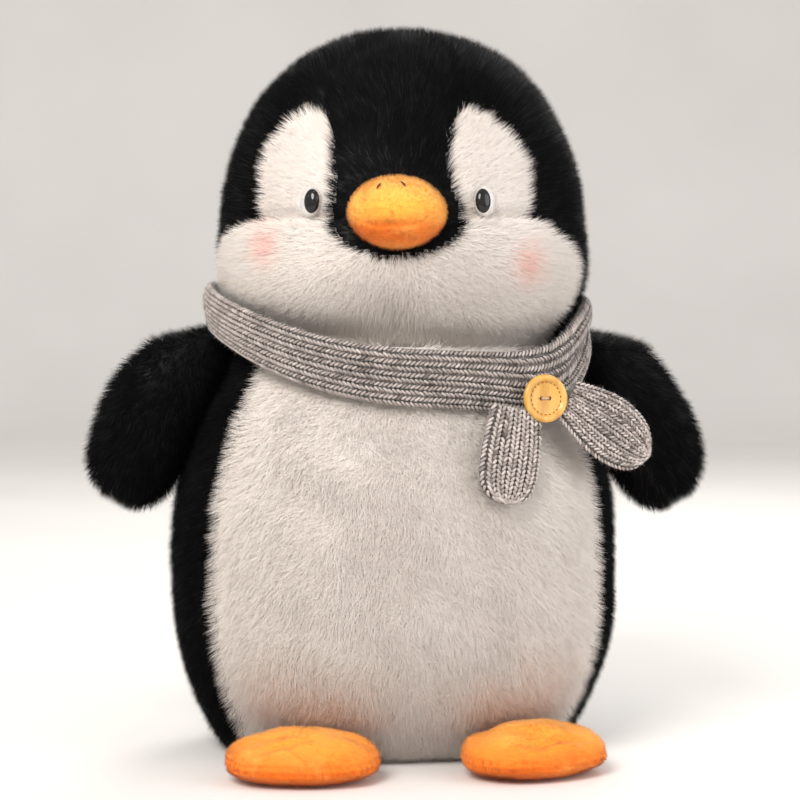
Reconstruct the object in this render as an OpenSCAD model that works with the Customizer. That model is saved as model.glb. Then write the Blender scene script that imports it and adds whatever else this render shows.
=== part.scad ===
// Stuffed penguin with a knitted scarf. Skin panels, stuffing and trim are
// separate pieces. It faces -Y, stands on z = 0, and "left" is its own left, +X.

/* [Torso] */
// half of the greatest width of the torso
torso_half_w = 106; // [80:1:140]
// reach of the belly in front of the neck axis
belly_reach = 90; // [60:1:120]
// reach of the back behind the neck axis
back_reach = 82; // [60:1:120]
// height of the widest level
torso_wide_z = 78; // [50:1:110]
// half width of the torso at the ground
base_half_w = 80; // [50:1:100]
// reach of the belly at the ground
base_front = 48; // [30:1:90]
// reach of the back at the ground
base_back = 60; // [30:1:90]
// height of the seam between torso and head
neck_z = 196; // [170:1:220]
// half width of the torso just under that seam
neck_half_w = 78; // [50:1:90]
// reach of the torso to the front just under that seam
neck_front = 72; // [50:1:90]
// reach of the torso to the back just under that seam
neck_back = 68; // [50:1:90]
// angle from the front to the edge of the white belly panel
belly_edge = 59.5; // [40:0.5:80]

/* [Head] */
// half of the greatest width of the head
head_half_w = 89; // [60:1:110]
// reach of the face in front of the neck axis
face_reach = 80; // [60:1:110]
// reach of the back of the head
nape_reach = 80; // [60:1:110]
// height of the widest level of the head
head_wide_z = 243; // [220:1:270]
// height of the crown
crown_z = 347; // [300:1:400]
// how far the cheeks puff out past the face
cheek_puff = 7; // [0:0.5:15]
// half width of the dark strip between the eye patches
strip_half_w = 25; // [10:0.5:40]
// half width of an eye patch
patch_half_w = 18.5; // [10:0.5:30]
// height of the top of the eye patches
patch_top_z = 306; // [270:1:330]
// height of the seam between eye patches and cheeks
cheek_seam_z = 254.5; // [240:0.5:280]
// lowest point of the dark strip, under the beak
strip_low_z = 236.5; // [220:0.5:250]
// rest turn of the head about the neck axis, to its own right when negative
head_yaw = -10; // [-20:1:20]
// how far the head sits to the toy's left of the middle
head_shift = 5.6; // [0:0.2:8]

/* [Eyes and beak] */
// height of the eye centres
eye_z = 261.5; // [240:0.5:290]
// distance of each eye from the middle of the face
eye_x = 40.5; // [20:0.5:60]
// radius of an eye
eye_r = 6; // [3:0.5:10]
// radius of the dark pupil
pupil_r = 5; // [2:0.25:8]
// half width of the beak
beak_half_w = 22.5; // [10:0.5:35]
// half height of the beak
beak_half_h = 17; // [8:0.5:30]
// reach of the beak from the face
beak_reach = 27; // [10:1:50]
// height of the middle of the beak
beak_z = 256; // [240:0.5:290]

/* [Wings] */
// length of a wing
wing_len = 75; // [60:1:130]
// half width of a wing
wing_half_w = 21; // [12:0.5:35]
// half thickness of a wing
wing_half_t = 16; // [8:0.5:25]
// distance of the shoulder hinge from the middle
shoulder_x = 96; // [80:0.5:120]
// height of the shoulder hinge
shoulder_z = 182; // [150:0.5:200]
// angle of the left wing away from hanging straight down
spread_left = 30; // [20:1:80]
// angle of the right wing away from hanging straight down
spread_right = 27.5; // [20:0.5:80]

/* [Feet] */
// half width of a foot
foot_half_w = 32; // [20:1:45]
// half length of a foot
foot_half_l = 26.5; // [15:0.5:40]
// height of a foot
foot_h = 22; // [12:1:35]
// distance of each foot from the middle
foot_x = 53; // [35:1:70]
// reach of the middle of a foot in front of the neck axis
foot_reach = 83; // [60:1:110]
// turn of each foot outwards
foot_splay = 14; // [0:1:40]

/* [Scarf] */
// width of the knitted band round the neck
band_w = 21; // [12:1:35]
// thickness of the knitted band
band_t = 4.5; // [2:0.5:8]
// radius of the button
button_r = 11; // [6:0.5:18]
// thickness of the button
button_t = 4; // [2:0.5:8]
// length of the tail that hangs down
tail_front_len = 36; // [30:1:90]
// length of the tail that sticks out sideways
tail_side_len = 53; // [30:1:90]

/* [Fabric] */
// thickness of the furry fabric with its pile pressed down
fur_t = 6; // [3:0.5:10]
// thickness of the short velvet
velvet_t = 2; // [1:0.25:4]
// gap left at each seam and round the stuffing
seam_gap = 0.4; // [0.2:0.1:1]

/* [Hidden] */

// clearance between pieces that move against each other
move_gap = 0.6;
// roundness of the torso below and the slope of its shoulders
base_curve = 2.3;
shoulder_curve = 1.8;
// radius of the rounded edge of the torso under the neck seam
neck_round = 9;
// thickness of the flat base panel
base_t = 4;
// exponents that make round sections slightly squarer than ellipses
plan_power = 2.15;
crown_power = 2.2;
jaw_power = 2.6;
// depth of the lower half of the head if it were not cut at the neck
jaw_depth = 62;
// radius of the pucker left at the crown where the seams meet
pucker_r = 1.6;
// middle of an eye patch from the middle of the face
patch_x = strip_half_w + patch_half_w;
// level where the sides of an eye patch begin to close towards its top
patch_wide_z = mix(cheek_seam_z, patch_top_z, 0.46);
// smallest half width given to the pointed end of a panel
tip_half_w = 1.2;
// level where the top of an eye patch has narrowed to about a millimetre
patch_tip_z = patch_top_z - 0.02;
// space between the stuffing of the head and its skin, whose facets cut inwards
head_slack = 1.6;
fur_black = [0.05, 0.05, 0.06];
fur_white = [0.95, 0.93, 0.9];
beak_yellow = [0.98, 0.68, 0.2];
beak_orange = [0.93, 0.5, 0.13];
knit_grey = [0.55, 0.55, 0.56];
stuffing_white = [0.97, 0.97, 0.97];

// ---- numbers and lists ----

function mix(a, b, t) = a + (b - a) * t;
function sgn_pow(v, p) = sign(v) * pow(abs(v), p);
function steps(a, b, n) = [for (i = [0 : n]) mix(a, b, i / n)];
function bell(v, width) = exp(-pow(v / width, 2));
// places x, y on a section that is squarer than an ellipse, from the front round to +X
function plan(angle, half_w, front, back) = [
  half_w * sgn_pow(sin(angle), 2 / plan_power),
  -(cos(angle) >= 0 ? front : back) * sgn_pow(cos(angle), 2 / plan_power)
];
// angle at which such a section reaches sideways distance x
function plan_angle(x, half_w) = asin(pow(min(1, x / half_w), plan_power / 2));
// angle taken by half a seam gap on a ring of this radius
function gap_angle(radius) = asin(min(0.9, seam_gap / 2 / radius));

// ---- solids from grids of points ----

function grid_faces(rows, cols, first, turned) = [
  for (r = [0 : rows - 2])
    for (c = [0 : cols - 2])
      for (half = [0, 1])
        let (
          a = first + r * cols + c,
          b = a + 1,
          d = a + cols,
          e = d + 1,
          tri = half == 0 ? [a, b, e] : [a, e, d]
        )
        turned ? [tri[0], tri[2], tri[1]] : tri
];
function rim_loop(rows, cols) = concat(
  [for (c = [0 : cols - 1]) c],
  [for (r = [1 : rows - 1]) r * cols + cols - 1],
  [for (c = [cols - 2 : -1 : 0]) (rows - 1) * cols + c],
  [for (r = [rows - 2 : -1 : 1]) r * cols]
);

// a curved sheet with an outer and an inner face, both grids of the same size
module sheet(outer, inner) {
  rows = len(outer);
  cols = len(outer[0]);
  count = rows * cols;
  loop = rim_loop(rows, cols);
  turns = len(loop);
  points = concat([for (row = outer) each row], [for (row = inner) each row]);
  rim = [
    for (i = [0 : turns - 1])
      for (half = [0, 1])
        let (a = loop[i], b = loop[(i + 1) % turns])
        half == 0 ? [a, a + count, b + count] : [a, b + count, b]
  ];
  polyhedron(
    points,
    concat(grid_faces(rows, cols, 0, false), grid_faces(rows, cols, count, true), rim),
    convexity = 6
  );
}

// a solid through closed rings of points, each with a flat end
module ring_stack(rings) {
  levels = len(rings);
  around = len(rings[0]);
  walls = [
    for (r = [0 : levels - 2])
      for (c = [0 : around - 1])
        for (half = [0, 1])
          let (
            a = r * around + c,
            b = r * around + (c + 1) % around,
            d = a + around,
            e = b + around
          )
          half == 0 ? [a, d, e] : [a, e, b]
  ];
  floor_face = [for (c = [0 : around - 1]) c];
  roof_face = [for (c = [around - 1 : -1 : 0]) (levels - 1) * around + c];
  polyhedron(
    [for (ring = rings) each ring],
    concat(walls, [floor_face], [roof_face]),
    convexity = 4
  );
}

// ---- torso ----

function torso_fullness(z) = z < torso_wide_z
  ? 1 - pow((torso_wide_z - z) / torso_wide_z, base_curve)
  : (1 + cos(180 * pow((z - torso_wide_z) / (neck_z - torso_wide_z), shoulder_curve))) / 2;
function torso_edge(z) = z < neck_z - neck_round
  ? 0
  : neck_round - sqrt(max(0, pow(neck_round, 2) - pow(z - neck_z + neck_round, 2)));
function torso_size(z, low, wide, high) =
  mix(z < torso_wide_z ? low : high, wide, torso_fullness(z)) - torso_edge(z);
function torso_w(z) = torso_size(z, base_half_w, torso_half_w, neck_half_w);
function torso_front(z) = torso_size(z, base_front, belly_reach, neck_front);
function torso_back(z) = torso_size(z, base_back, back_reach, neck_back);
function torso_point(angle, z, inset) = concat(
  plan(angle, torso_w(z) - inset, torso_front(z) - inset, torso_back(z) - inset), z
);
skin_rows = concat(
  steps(0.6, torso_wide_z, 8),
  [for (z = steps(torso_wide_z, neck_z - neck_round, 9)) if (z > torso_wide_z) z],
  [neck_z - 0.55 * neck_round, neck_z - 0.2 * neck_round, neck_z - 0.02 * neck_round]
);

module torso_panel(first, last, cols) {
  function row(z, inset) = let (margin = gap_angle(torso_w(z)))
    [for (a = steps(first + margin, last - margin, cols)) torso_point(a, z, inset)];
  sheet([for (z = skin_rows) row(z, 0)], [for (z = skin_rows) row(z, fur_t)]);
}

module belly_panel() {
  color(fur_white)
    torso_panel(-belly_edge, belly_edge, 20);
}

module back_panel() {
  torso_panel(belly_edge, 180, 19);
}

module back_panel_left() {
  color(fur_black)
    difference() {
      back_panel();
      label_slot();
    }
}

module back_panel_right() {
  color(fur_black)
    mirror([1, 0, 0])
      back_panel();
}

module base_panel() {
  inset = fur_t + seam_gap;
  color(fur_white)
    linear_extrude(base_t)
      polygon([
        for (a = [0 : 7.5 : 352.5])
          plan(a, base_half_w - inset, base_front - inset, base_back - inset)
      ]);
}

module torso_filling() {
  inset = fur_t + seam_gap;
  levels = concat(
    steps(base_t + seam_gap, torso_wide_z, 5),
    [for (z = steps(torso_wide_z, neck_z - neck_round, 6)) if (z > torso_wide_z) z],
    [neck_z - 0.4]
  );
  color(stuffing_white)
    ring_stack([
      for (z = levels) [for (a = [0 : 10 : 350]) torso_point(a, z, inset)]
    ]);
}

// ---- head ----

head_low_z = neck_z + move_gap;
// levels of the head are named by a slope angle: 0 is the widest, 90 the crown
function head_z(slope, inset) = slope >= 0
  ? head_wide_z + (crown_z - head_wide_z - inset) * pow(sin(slope), 2 / crown_power)
  : max(head_low_z, head_wide_z - jaw_depth * pow(-sin(slope), 2 / jaw_power));
function head_ring(slope) = slope >= 0
  ? pow(cos(slope), 2 / crown_power)
  : pow(cos(slope), 2 / jaw_power);
function slope_at(z) = z >= head_wide_z
  ? asin(pow((z - head_wide_z) / (crown_z - head_wide_z), crown_power / 2))
  : -asin(pow((head_wide_z - z) / jaw_depth, jaw_power / 2));
function head_w(z) = head_half_w * head_ring(slope_at(z));
// the cheeks puff out between the scarf and the seam under the eyes
function puff(angle, z) =
  let (
    reach = abs(angle > 180 ? angle - 360 : angle),
    low = neck_z + 9,
    level = (z - low) / (cheek_seam_z - low)
  )
  reach >= 86 || level <= 0 || level >= 1
    ? 0
    : cheek_puff * pow(cos(reach * 90 / 86), 0.6) * pow(sin(180 * level), 0.8)
      * (1 - 0.35 * bell(reach, 7));
function head_point(angle, slope, inset) =
  let (
    z = head_z(slope, inset),
    ring = head_ring(slope),
    swell = puff(angle, head_z(slope, 0)),
    size = [head_half_w, face_reach, nape_reach] * ring + [1, 1, 1] * (swell - inset * ring)
  )
  concat(plan(angle, size[0], size[1], size[2]), z);
// flatter inset for the sides of the lower head, which is cut off at the neck
function head_rows(z_from, z_to, n) = steps(slope_at(z_from), slope_at(z_to), n);
function past_first(list) = [for (i = [1 : len(list) - 1]) list[i]];

// angles from the front at which the panels of the face meet, by height
function patch_arc(z) = z <= patch_wide_z
  ? 1
  : sqrt(max(0, 1 - pow((z - patch_wide_z) / (patch_top_z - patch_wide_z), 2)));
function strip_x(z) = z >= cheek_seam_z
  ? patch_x - patch_half_w * patch_arc(z)
  : strip_half_w * sqrt(max(0, 1 - pow((cheek_seam_z - z) / (cheek_seam_z - strip_low_z), 2)));
function strip_angle(z) = z >= patch_top_z
  ? plan_angle(patch_x, head_w(patch_top_z))
  : z < strip_low_z - 0.01 ? 0 : plan_angle(max(tip_half_w, strip_x(z)), head_w(z));
function patch_angle(z) = z >= patch_top_z
  ? strip_angle(z)
  : plan_angle(patch_x + patch_half_w * patch_arc(z), head_w(z));
// below the seam under the eyes the white spreads to the side of the head
flare_z = cheek_seam_z - 17;
cheek_side_angle = 84;
cheek_low_angle = 70;
function hood_angle(z) = z >= cheek_seam_z
  ? patch_angle(z)
  : z >= flare_z
    ? mix(patch_angle(cheek_seam_z), cheek_side_angle,
        sin(90 * (cheek_seam_z - z) / (cheek_seam_z - flare_z)))
    : mix(cheek_side_angle, cheek_low_angle, (flare_z - z) / (flare_z - head_low_z));

jaw_rows = head_rows(head_low_z, strip_low_z, 6);
strip_rows = head_rows(strip_low_z, cheek_seam_z, 4);
patch_rows = head_rows(cheek_seam_z, patch_tip_z, 8);
crown_rows = steps(slope_at(patch_tip_z), 88.6, 7);

// a panel of the head between two angles that change with height
module head_panel(rows, from_angle, to_angle, cols) {
  function row(slope, inset) =
    let (
      z = head_z(slope, 0),
      margin = gap_angle(head_half_w * head_ring(slope)),
      low = from_angle(z) + margin,
      high = max(low + 0.3, to_angle(z) - margin)
    )
    [for (a = steps(low, high, cols)) head_point(a, slope, inset)];
  sheet([for (s = rows) row(s, 0)], [for (s = rows) row(s, fur_t)]);
}

module head_pose() {
  translate([head_shift, 0, 0])
    rotate([0, 0, head_yaw])
      children();
}

module hood_side() {
  rows = concat(jaw_rows, past_first(strip_rows), past_first(patch_rows), past_first(crown_rows));
  head_panel(rows, function (z) hood_angle(z), function (z) 180, 16);
}

module hood_left() {
  color(fur_black)
    head_pose()
      hood_side();
}

module hood_right() {
  color(fur_black)
    head_pose()
      mirror([1, 0, 0])
        hood_side();
}

module hood_gusset() {
  rows = concat(strip_rows, past_first(patch_rows), past_first(crown_rows));
  color(fur_black)
    head_pose()
      difference() {
        head_panel(rows, function (z) -strip_angle(z), function (z) strip_angle(z), 10);
        beak_seat();
      }
}

module eye_patch() {
  rows = [for (i = [0 : len(patch_rows) - 1])
    i == 0 ? slope_at(cheek_seam_z + seam_gap / 2) : patch_rows[i]];
  difference() {
    head_panel(rows, function (z) strip_angle(z), function (z) patch_angle(z), 6);
    at_eye()
      eye_hole();
  }
}

module eye_patch_left() {
  color(fur_white)
    head_pose()
      eye_patch();
}

module eye_patch_right() {
  color(fur_white)
    head_pose()
      mirror([1, 0, 0])
        eye_patch();
}

module cheek() {
  all = concat(jaw_rows, past_first(strip_rows));
  rows = [for (i = [0 : len(all) - 1])
    i == len(all) - 1 ? slope_at(cheek_seam_z - seam_gap / 2) : all[i]];
  head_panel(rows, function (z) strip_angle(z), function (z) hood_angle(z), 16);
}

module cheek_left() {
  color(fur_white)
    head_pose()
      cheek();
}

module cheek_right() {
  color(fur_white)
    head_pose()
      mirror([1, 0, 0])
        cheek();
}

module head_filling() {
  inset = fur_t + head_slack;
  slopes = concat(
    steps(slope_at(head_low_z), 0, 5),
    past_first(steps(0, 84, 8))
  );
  color(stuffing_white)
    head_pose()
      difference() {
        ring_stack([
          for (s = slopes) [for (a = [0 : 10 : 350]) head_point(a, s, inset)]
        ]);
        for (side = [0, 1])
          mirror([side, 0, 0])
            at_eye()
              washer_pocket();
      }
}

// ---- eyes ----

eye_level = slope_at(eye_z);
eye_side = plan_angle(eye_x, head_w(eye_z));
eye_seat = head_point(eye_side, eye_level, 0);
eye_sink = 1.2;
eye_turn = 24;
eye_tip = 8;
shank_r = 1.75;
shank_len = 13;
washer_r = 5;
washer_t = 1.6;

// puts a part on the face where the left eye is, looking out along +Z of the part
module at_eye() {
  translate(eye_seat)
    rotate([0, 0, eye_turn])
      rotate([90 - eye_tip, 0, 0])
        translate([0, 0, -eye_sink])
          children();
}

module eye_hole() {
  cylinder(h = 20, r = eye_r + 0.4, $fn = 48);
  translate([0, 0, -12])
    cylinder(h = 14, r = shank_r + 0.2, $fn = 24);
}

module washer_pocket() {
  translate([0, 0, -shank_len - 1])
    cylinder(h = shank_len + 6, r = washer_r + 0.5, $fn = 32);
}

module eye_body() {
  rotate_extrude($fn = 64)
    polygon(concat(
      [[0, -shank_len], [shank_r - 0.4, -shank_len], [shank_r, -shank_len + 0.6],
       [shank_r, 0.02], [eye_r, 0.02], [eye_r, 0.8]],
      [for (a = [15 : 15 : 75]) [eye_r * cos(a), 0.8 + 2.4 * sin(a)]],
      [[0, 3.2]]
    ));
}

module eye_left() {
  color([0.95, 0.95, 0.94])
    head_pose()
      at_eye()
        difference() {
          eye_body();
          pupil_place()
            cylinder(h = 10, r = pupil_r + 0.05, $fn = 64);
        }
}

module eye_right() {
  mirrored_yaw()
    eye_left();
}

// mirrors a part of the turned head onto the head's other side
module mirrored_yaw() {
  head_pose()
    mirror([1, 0, 0])
      rotate([0, 0, -head_yaw])
        translate([-head_shift, 0, 0])
          children();
}

module pupil_place() {
  translate([-0.75, 0, 1.2])
    children();
}

module pupil_left() {
  color([0.02, 0.02, 0.02])
    head_pose()
      at_eye()
        pupil_place()
          rotate_extrude($fn = 64)
            polygon(concat(
              [[0, 0.05], [pupil_r, 0.05], [pupil_r, 0.9]],
              [for (a = [15 : 15 : 75]) [pupil_r * cos(a), 0.9 + 1.9 * sin(a)]],
              [[0, 2.8]]
            ));
}

module pupil_right() {
  mirrored_yaw()
    pupil_left();
}

module eye_washers() {
  color([0.85, 0.85, 0.85])
    head_pose()
      for (side = [0, 1])
        mirror([side, 0, 0])
          at_eye()
            translate([0, 0, -shank_len + 2])
              difference() {
                cylinder(h = washer_t, r = washer_r, $fn = 48);
                translate([0, 0, -1])
                  cylinder(h = washer_t + 2, r = shank_r + 0.05, $fn = 48);
              }
}

// ---- beak ----

beak_level = slope_at(beak_z);
beak_seam_angle = -22;
// the beak is sewn flat against the face on this plane
beak_plane = face_reach * head_ring(beak_level) - 2.4;

module beak_seat() {
  translate([0, -beak_plane, beak_z])
    rotate([90, 0, 0])
      scale([beak_half_w + seam_gap, beak_half_h + seam_gap, 1])
        cylinder(h = 20, r = 1, $fn = 64);
}

// point of the beak: across runs from side to side, over runs from chin to brow
function beak_point(across, over, inset) = [
  (beak_half_w - inset) * sin(across),
  -beak_plane - 0.3 - (beak_reach - inset) * cos(across) * cos(over),
  beak_z + (beak_half_h - inset) * cos(across) * sin(over)
];

module beak_panel(low, high, cols) {
  function row(across, inset) = [for (o = steps(low, high, cols)) beak_point(across, o, inset)];
  bows = steps(-86, 86, 16);
  sheet([for (a = bows) row(a, 0)], [for (a = bows) row(a, velvet_t)]);
}

module beak_upper() {
  color(beak_yellow)
    head_pose()
      difference() {
        beak_panel(beak_seam_angle + 0.6, 88, 9);
        nostrils(0.15);
      }
}

module beak_lower() {
  color(beak_orange)
    head_pose()
      beak_panel(-88, beak_seam_angle - 0.6, 6);
}

module beak_filling() {
  inset = velvet_t + seam_gap;
  color(stuffing_white)
    head_pose()
      ring_stack([
        for (over = steps(-80, 80, 8))
          let (
            half_w = (beak_half_w - inset) * cos(over),
            z = beak_z + (beak_half_h - inset) * sin(over)
          )
          concat(
            [for (a = [-90 : 15 : 90]) [
              half_w * sin(a), -beak_plane - 0.7 - (beak_reach - inset - 0.4) * cos(over) * cos(a), z
            ]]
          )
      ]);
}

// two short thread bars near the top of the beak
module nostrils(extra) {
  for (side = [-1, 1])
    translate(beak_point(side * 11, 50, 0.5))
      rotate([-38, 0, 0])
        rotate([0, side * 25, 0])
          cylinder(h = 4, r = 0.6 + extra, center = true, $fn = 24);
}

module nostril_stitches() {
  color([0.25, 0.12, 0.05])
    head_pose()
      nostrils(0);
}

// ---- wings ----

wing_half_l = wing_len / 2;
// distance from the shoulder end of a wing to its hinge
wing_root = 3;
// how far the middle of a wing lies above the line through its hinge
wing_rise = 6;
// how much wider a wing is near its tip than near the shoulder
wing_taper = 0.25;

// point of a wing lying along +X: along runs from shoulder to tip
function wing_point(along, round_angle, inset) =
  let (
    taper = 1 + wing_taper * sin(along),
    thin = sgn_pow(cos(along), 0.8)
  )
  [
    (wing_half_l - inset) * sin(along),
    -(wing_half_t * taper - inset) * thin * cos(round_angle),
    (wing_half_w * taper - inset) * thin * sin(round_angle)
  ];

module wing_half(low, high) {
  function row(along, inset) = [for (r = steps(low, high, 10)) wing_point(along, r, inset)];
  lengths = steps(-87, 87, 14);
  sheet([for (a = lengths) row(a, 0)], [for (a = lengths) row(a, fur_t - 1)]);
}

// hangs a wing from the left shoulder
module at_shoulder(spread) {
  translate([shoulder_x, 0, shoulder_z])
    rotate([0, 90 - spread, 0])
      translate([wing_half_l - wing_root, 0, wing_rise])
        children();
}

module wing_front(spread) {
  at_shoulder(spread)
    wing_half(-89, 89);
}

module wing_back(spread) {
  at_shoulder(spread)
    wing_half(91, 269);
}

module wing_filling(spread) {
  inset = fur_t - 1 + seam_gap;
  at_shoulder(spread)
    rotate([0, 90, 0])
      ring_stack([
        for (along = steps(-80, 80, 8))
          [for (r = [0 : 22.5 : 337.5])
            let (p = wing_point(along, r, inset)) [-p[2], p[1], p[0]]]
      ]);
}

module wing_left_front() {
  color(fur_black)
    wing_front(spread_left);
}

module wing_left_back() {
  color(fur_black)
    wing_back(spread_left);
}

module wing_left_filling() {
  color(stuffing_white)
    wing_filling(spread_left);
}

module wing_right_front() {
  color(fur_black)
    mirror([1, 0, 0])
      wing_front(spread_right);
}

module wing_right_back() {
  color(fur_black)
    mirror([1, 0, 0])
      wing_back(spread_right);
}

module wing_right_filling() {
  color(stuffing_white)
    mirror([1, 0, 0])
      wing_filling(spread_right);
}

// ---- feet ----

foot_power = 0.72;
// point of a foot: across runs from side to side, over from toe to heel
function foot_point(across, over, inset) = [
  (foot_half_w - inset) * sgn_pow(sin(across), foot_power),
  (foot_half_l - inset) * sgn_pow(cos(across), foot_power) * sgn_pow(sin(over), foot_power),
  foot_h / 2
    + (foot_h / 2 - inset) * sgn_pow(cos(across), foot_power) * sgn_pow(cos(over), foot_power)
];

module foot_half(low, high) {
  function row(across, inset) = [for (o = steps(low, high, 12)) foot_point(across, o, inset)];
  bows = steps(-87, 87, 16);
  sheet([for (a = bows) row(a, 0)], [for (a = bows) row(a, velvet_t)]);
}

module at_foot() {
  translate([foot_x, -foot_reach, 0])
    rotate([0, 0, foot_splay])
      children();
}

module foot_top() {
  at_foot()
    foot_half(-89, 89);
}

module foot_sole() {
  at_foot()
    foot_half(91, 269);
}

module foot_filling() {
  inset = velvet_t + seam_gap;
  at_foot()
    rotate([0, 90, 0])
      ring_stack([
        for (across = steps(-82, 82, 10))
          [for (o = [0 : 18 : 342])
            let (p = foot_point(across, o, inset)) [-p[2], p[1], p[0]]]
      ]);
}

module foot_left_top() {
  color(beak_yellow)
    foot_top();
}

module foot_left_sole() {
  color(beak_orange)
    foot_sole();
}

module foot_left_filling() {
  color(stuffing_white)
    foot_filling();
}

module foot_right_top() {
  color(beak_yellow)
    mirror([1, 0, 0])
      foot_top();
}

module foot_right_sole() {
  color(beak_orange)
    mirror([1, 0, 0])
      foot_sole();
}

module foot_right_filling() {
  color(stuffing_white)
    mirror([1, 0, 0])
      foot_filling();
}

// ---- scarf ----

// half width and reach of the inside of the band
band_half_w = 89;
band_front = 80.5;
band_back = 83;
// the band sits a little towards the buttoned side
band_shift = 4;
button_angle = 43;
// height of the middle of the band: low in front, lowest under the button
function band_z(angle) =
  neck_z + 6 - 12.5 * cos(angle) - 8 * cos(2 * angle) - 3 * sin(angle)
  - 13 * bell(angle - button_angle, 24);
function band_section(angle) =
  let (
    edge = band_w / 2 + 2.8 * pow(max(0, cos(angle)), 1.5),
    lift = 1.6 * bell(angle - button_angle, 20)
  )
  [
    [0.6 + lift, -edge], [band_t - 0.6 + lift, -edge + 0.4], [band_t + lift, -edge + 1.6],
    [band_t + 0.8 + lift, 0], [band_t + lift, edge - 1.6], [band_t - 0.6 + lift, edge - 0.4],
    [0.6 + lift, edge], [lift, edge - 1], [lift, -edge + 1]
  ];
function band_ring(angle) = [
  for (s = band_section(angle))
    let (at = plan(angle, band_half_w + s[0], band_front + s[0], band_back + s[0]))
    [at[0] + band_shift, at[1], band_z(angle) + s[1]]
];

module scarf_loop() {
  angles = [for (a = [-180 : 6 : 174]) a];
  turns = len(angles);
  corners = len(band_section(0));
  color(knit_grey)
    polyhedron(
      [for (a = angles) each band_ring(a)],
      [
        for (r = [0 : turns - 1])
          for (c = [0 : corners - 1])
            for (half = [0, 1])
              let (
                a = r * corners + c,
                b = r * corners + (c + 1) % corners,
                d = ((r + 1) % turns) * corners + c,
                e = ((r + 1) % turns) * corners + (c + 1) % corners
              )
              half == 0 ? [a, b, e] : [a, e, d]
      ],
      convexity = 8
    );
}

// a flat knitted tail along -Z with a rounded end; its back lies on y = 0
module tail(length, half_w, bow, n) {
  function half_at(t) = half_w * pow(1 - pow(t, 4), 0.5) * mix(0.72, 1, sin(min(90, 150 * t)));
  function ring(t) =
    let (w = max(1.5, half_at(t)), back = -bow * sin(180 * t))
    [
      [-w, back, -length * t], [-w + 1, back - band_t * 0.8, -length * t],
      [0, back - band_t, -length * t], [w - 1, back - band_t * 0.8, -length * t],
      [w, back, -length * t]
    ];
  ring_stack([for (t = steps(0, 1, n)) ring(t)]);
}

front_tail_top = [44, -82.6, 160];
side_tail_top = [71, -73, 168.4];

module scarf_tail_front() {
  color(knit_grey)
    translate(front_tail_top)
      rotate([-8, 0, 0])
        rotate([0, 0, 22])
          tail(tail_front_len, 14.5, 0, 12);
}

module scarf_tail_side() {
  color(knit_grey)
    translate(side_tail_top)
      rotate([0, 0, 20])
        rotate([0, -58, 0])
          tail(tail_side_len, 15.5, 1.5, 12);
}

button_seat = [57.5, -81.6, 171.7];
button_turn = 24;

module at_button() {
  translate(button_seat)
    rotate([0, 0, button_turn])
      rotate([86, 0, 0])
        children();
}

module thread_holes(extra) {
  for (side = [-1, 1])
    translate([side * 2, 0, -6])
      cylinder(h = 14, r = 1 - extra, $fn = 32);
}

module scarf_button() {
  color([0.85, 0.6, 0.28])
    at_button()
      difference() {
        rotate_extrude($fn = 96)
          polygon([
            [0, 0], [button_r - 1, 0], [button_r, 1], [button_r, button_t - 1],
            [button_r - 0.8, button_t], [button_r - 2.4, button_t],
            [button_r - 3.4, button_t - 1.2], [0, button_t - 1.4]
          ]);
        thread_holes(0);
      }
}

module button_thread() {
  color([0.4, 0.2, 0.1])
    at_button() {
      translate([0, 0, button_t - 1.3])
        rotate([0, 90, 0])
          translate([-0.55, 0, -2.3])
            cylinder(h = 4.6, r = 0.55, $fn = 24);
      for (side = [-1, 1])
        translate([side * 2, 0, -0.8])
          cylinder(h = button_t - 0.2, r = 0.55, $fn = 24);
    }
}

// ---- label ----

label_size = [0.8, 17, 13];
label_angle = 112;
label_z = 19;

module at_label() {
  translate(torso_point(label_angle, label_z, 0))
    rotate([0, 0, label_angle - 180])
      children();
}

module label_slot() {
  at_label()
    translate([-0.7, -6, -label_size[2] / 2 - 0.3])
      cube([1.4, 24, label_size[2] + 0.6]);
}

module seam_label() {
  color([0.93, 0.5, 0.6])
    at_label()
      translate([-label_size[0] / 2, -4, -label_size[2] / 2])
        cube(label_size);
}

belly_panel();
back_panel_left();
back_panel_right();
base_panel();
torso_filling();
scarf_loop();
scarf_button();
button_thread();
seam_label();
hood_left();
hood_right();
hood_gusset();
eye_patch_left();
eye_patch_right();
cheek_left();
cheek_right();
head_filling();
beak_upper();
beak_lower();
beak_filling();
nostril_stitches();
eye_left();
eye_right();
pupil_left();
pupil_right();
eye_washers();
wing_left_front();
wing_left_back();
wing_left_filling();
wing_right_front();
wing_right_back();
wing_right_filling();
foot_left_top();
foot_left_sole();
foot_left_filling();
foot_right_top();
foot_right_sole();
foot_right_filling();
scarf_tail_front();
scarf_tail_side();
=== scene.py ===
"""Looks of a stuffed penguin with a knitted scarf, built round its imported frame.

Lengths are millimetres and angles degrees until a mesh is made. The toy faces -Y
and "left" is its own left, +X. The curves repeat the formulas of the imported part.
"""

import math
import zlib

import bmesh
import bpy
import numpy as np
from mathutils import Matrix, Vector


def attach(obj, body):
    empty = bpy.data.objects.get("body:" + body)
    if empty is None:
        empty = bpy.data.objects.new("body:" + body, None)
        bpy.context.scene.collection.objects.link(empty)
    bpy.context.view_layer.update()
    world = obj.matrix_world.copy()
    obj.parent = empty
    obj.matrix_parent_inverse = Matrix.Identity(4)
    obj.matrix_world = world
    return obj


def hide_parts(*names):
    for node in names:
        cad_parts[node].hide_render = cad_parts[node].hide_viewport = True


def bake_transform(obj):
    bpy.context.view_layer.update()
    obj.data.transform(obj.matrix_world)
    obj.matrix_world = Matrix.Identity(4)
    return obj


MM = 0.001

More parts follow.
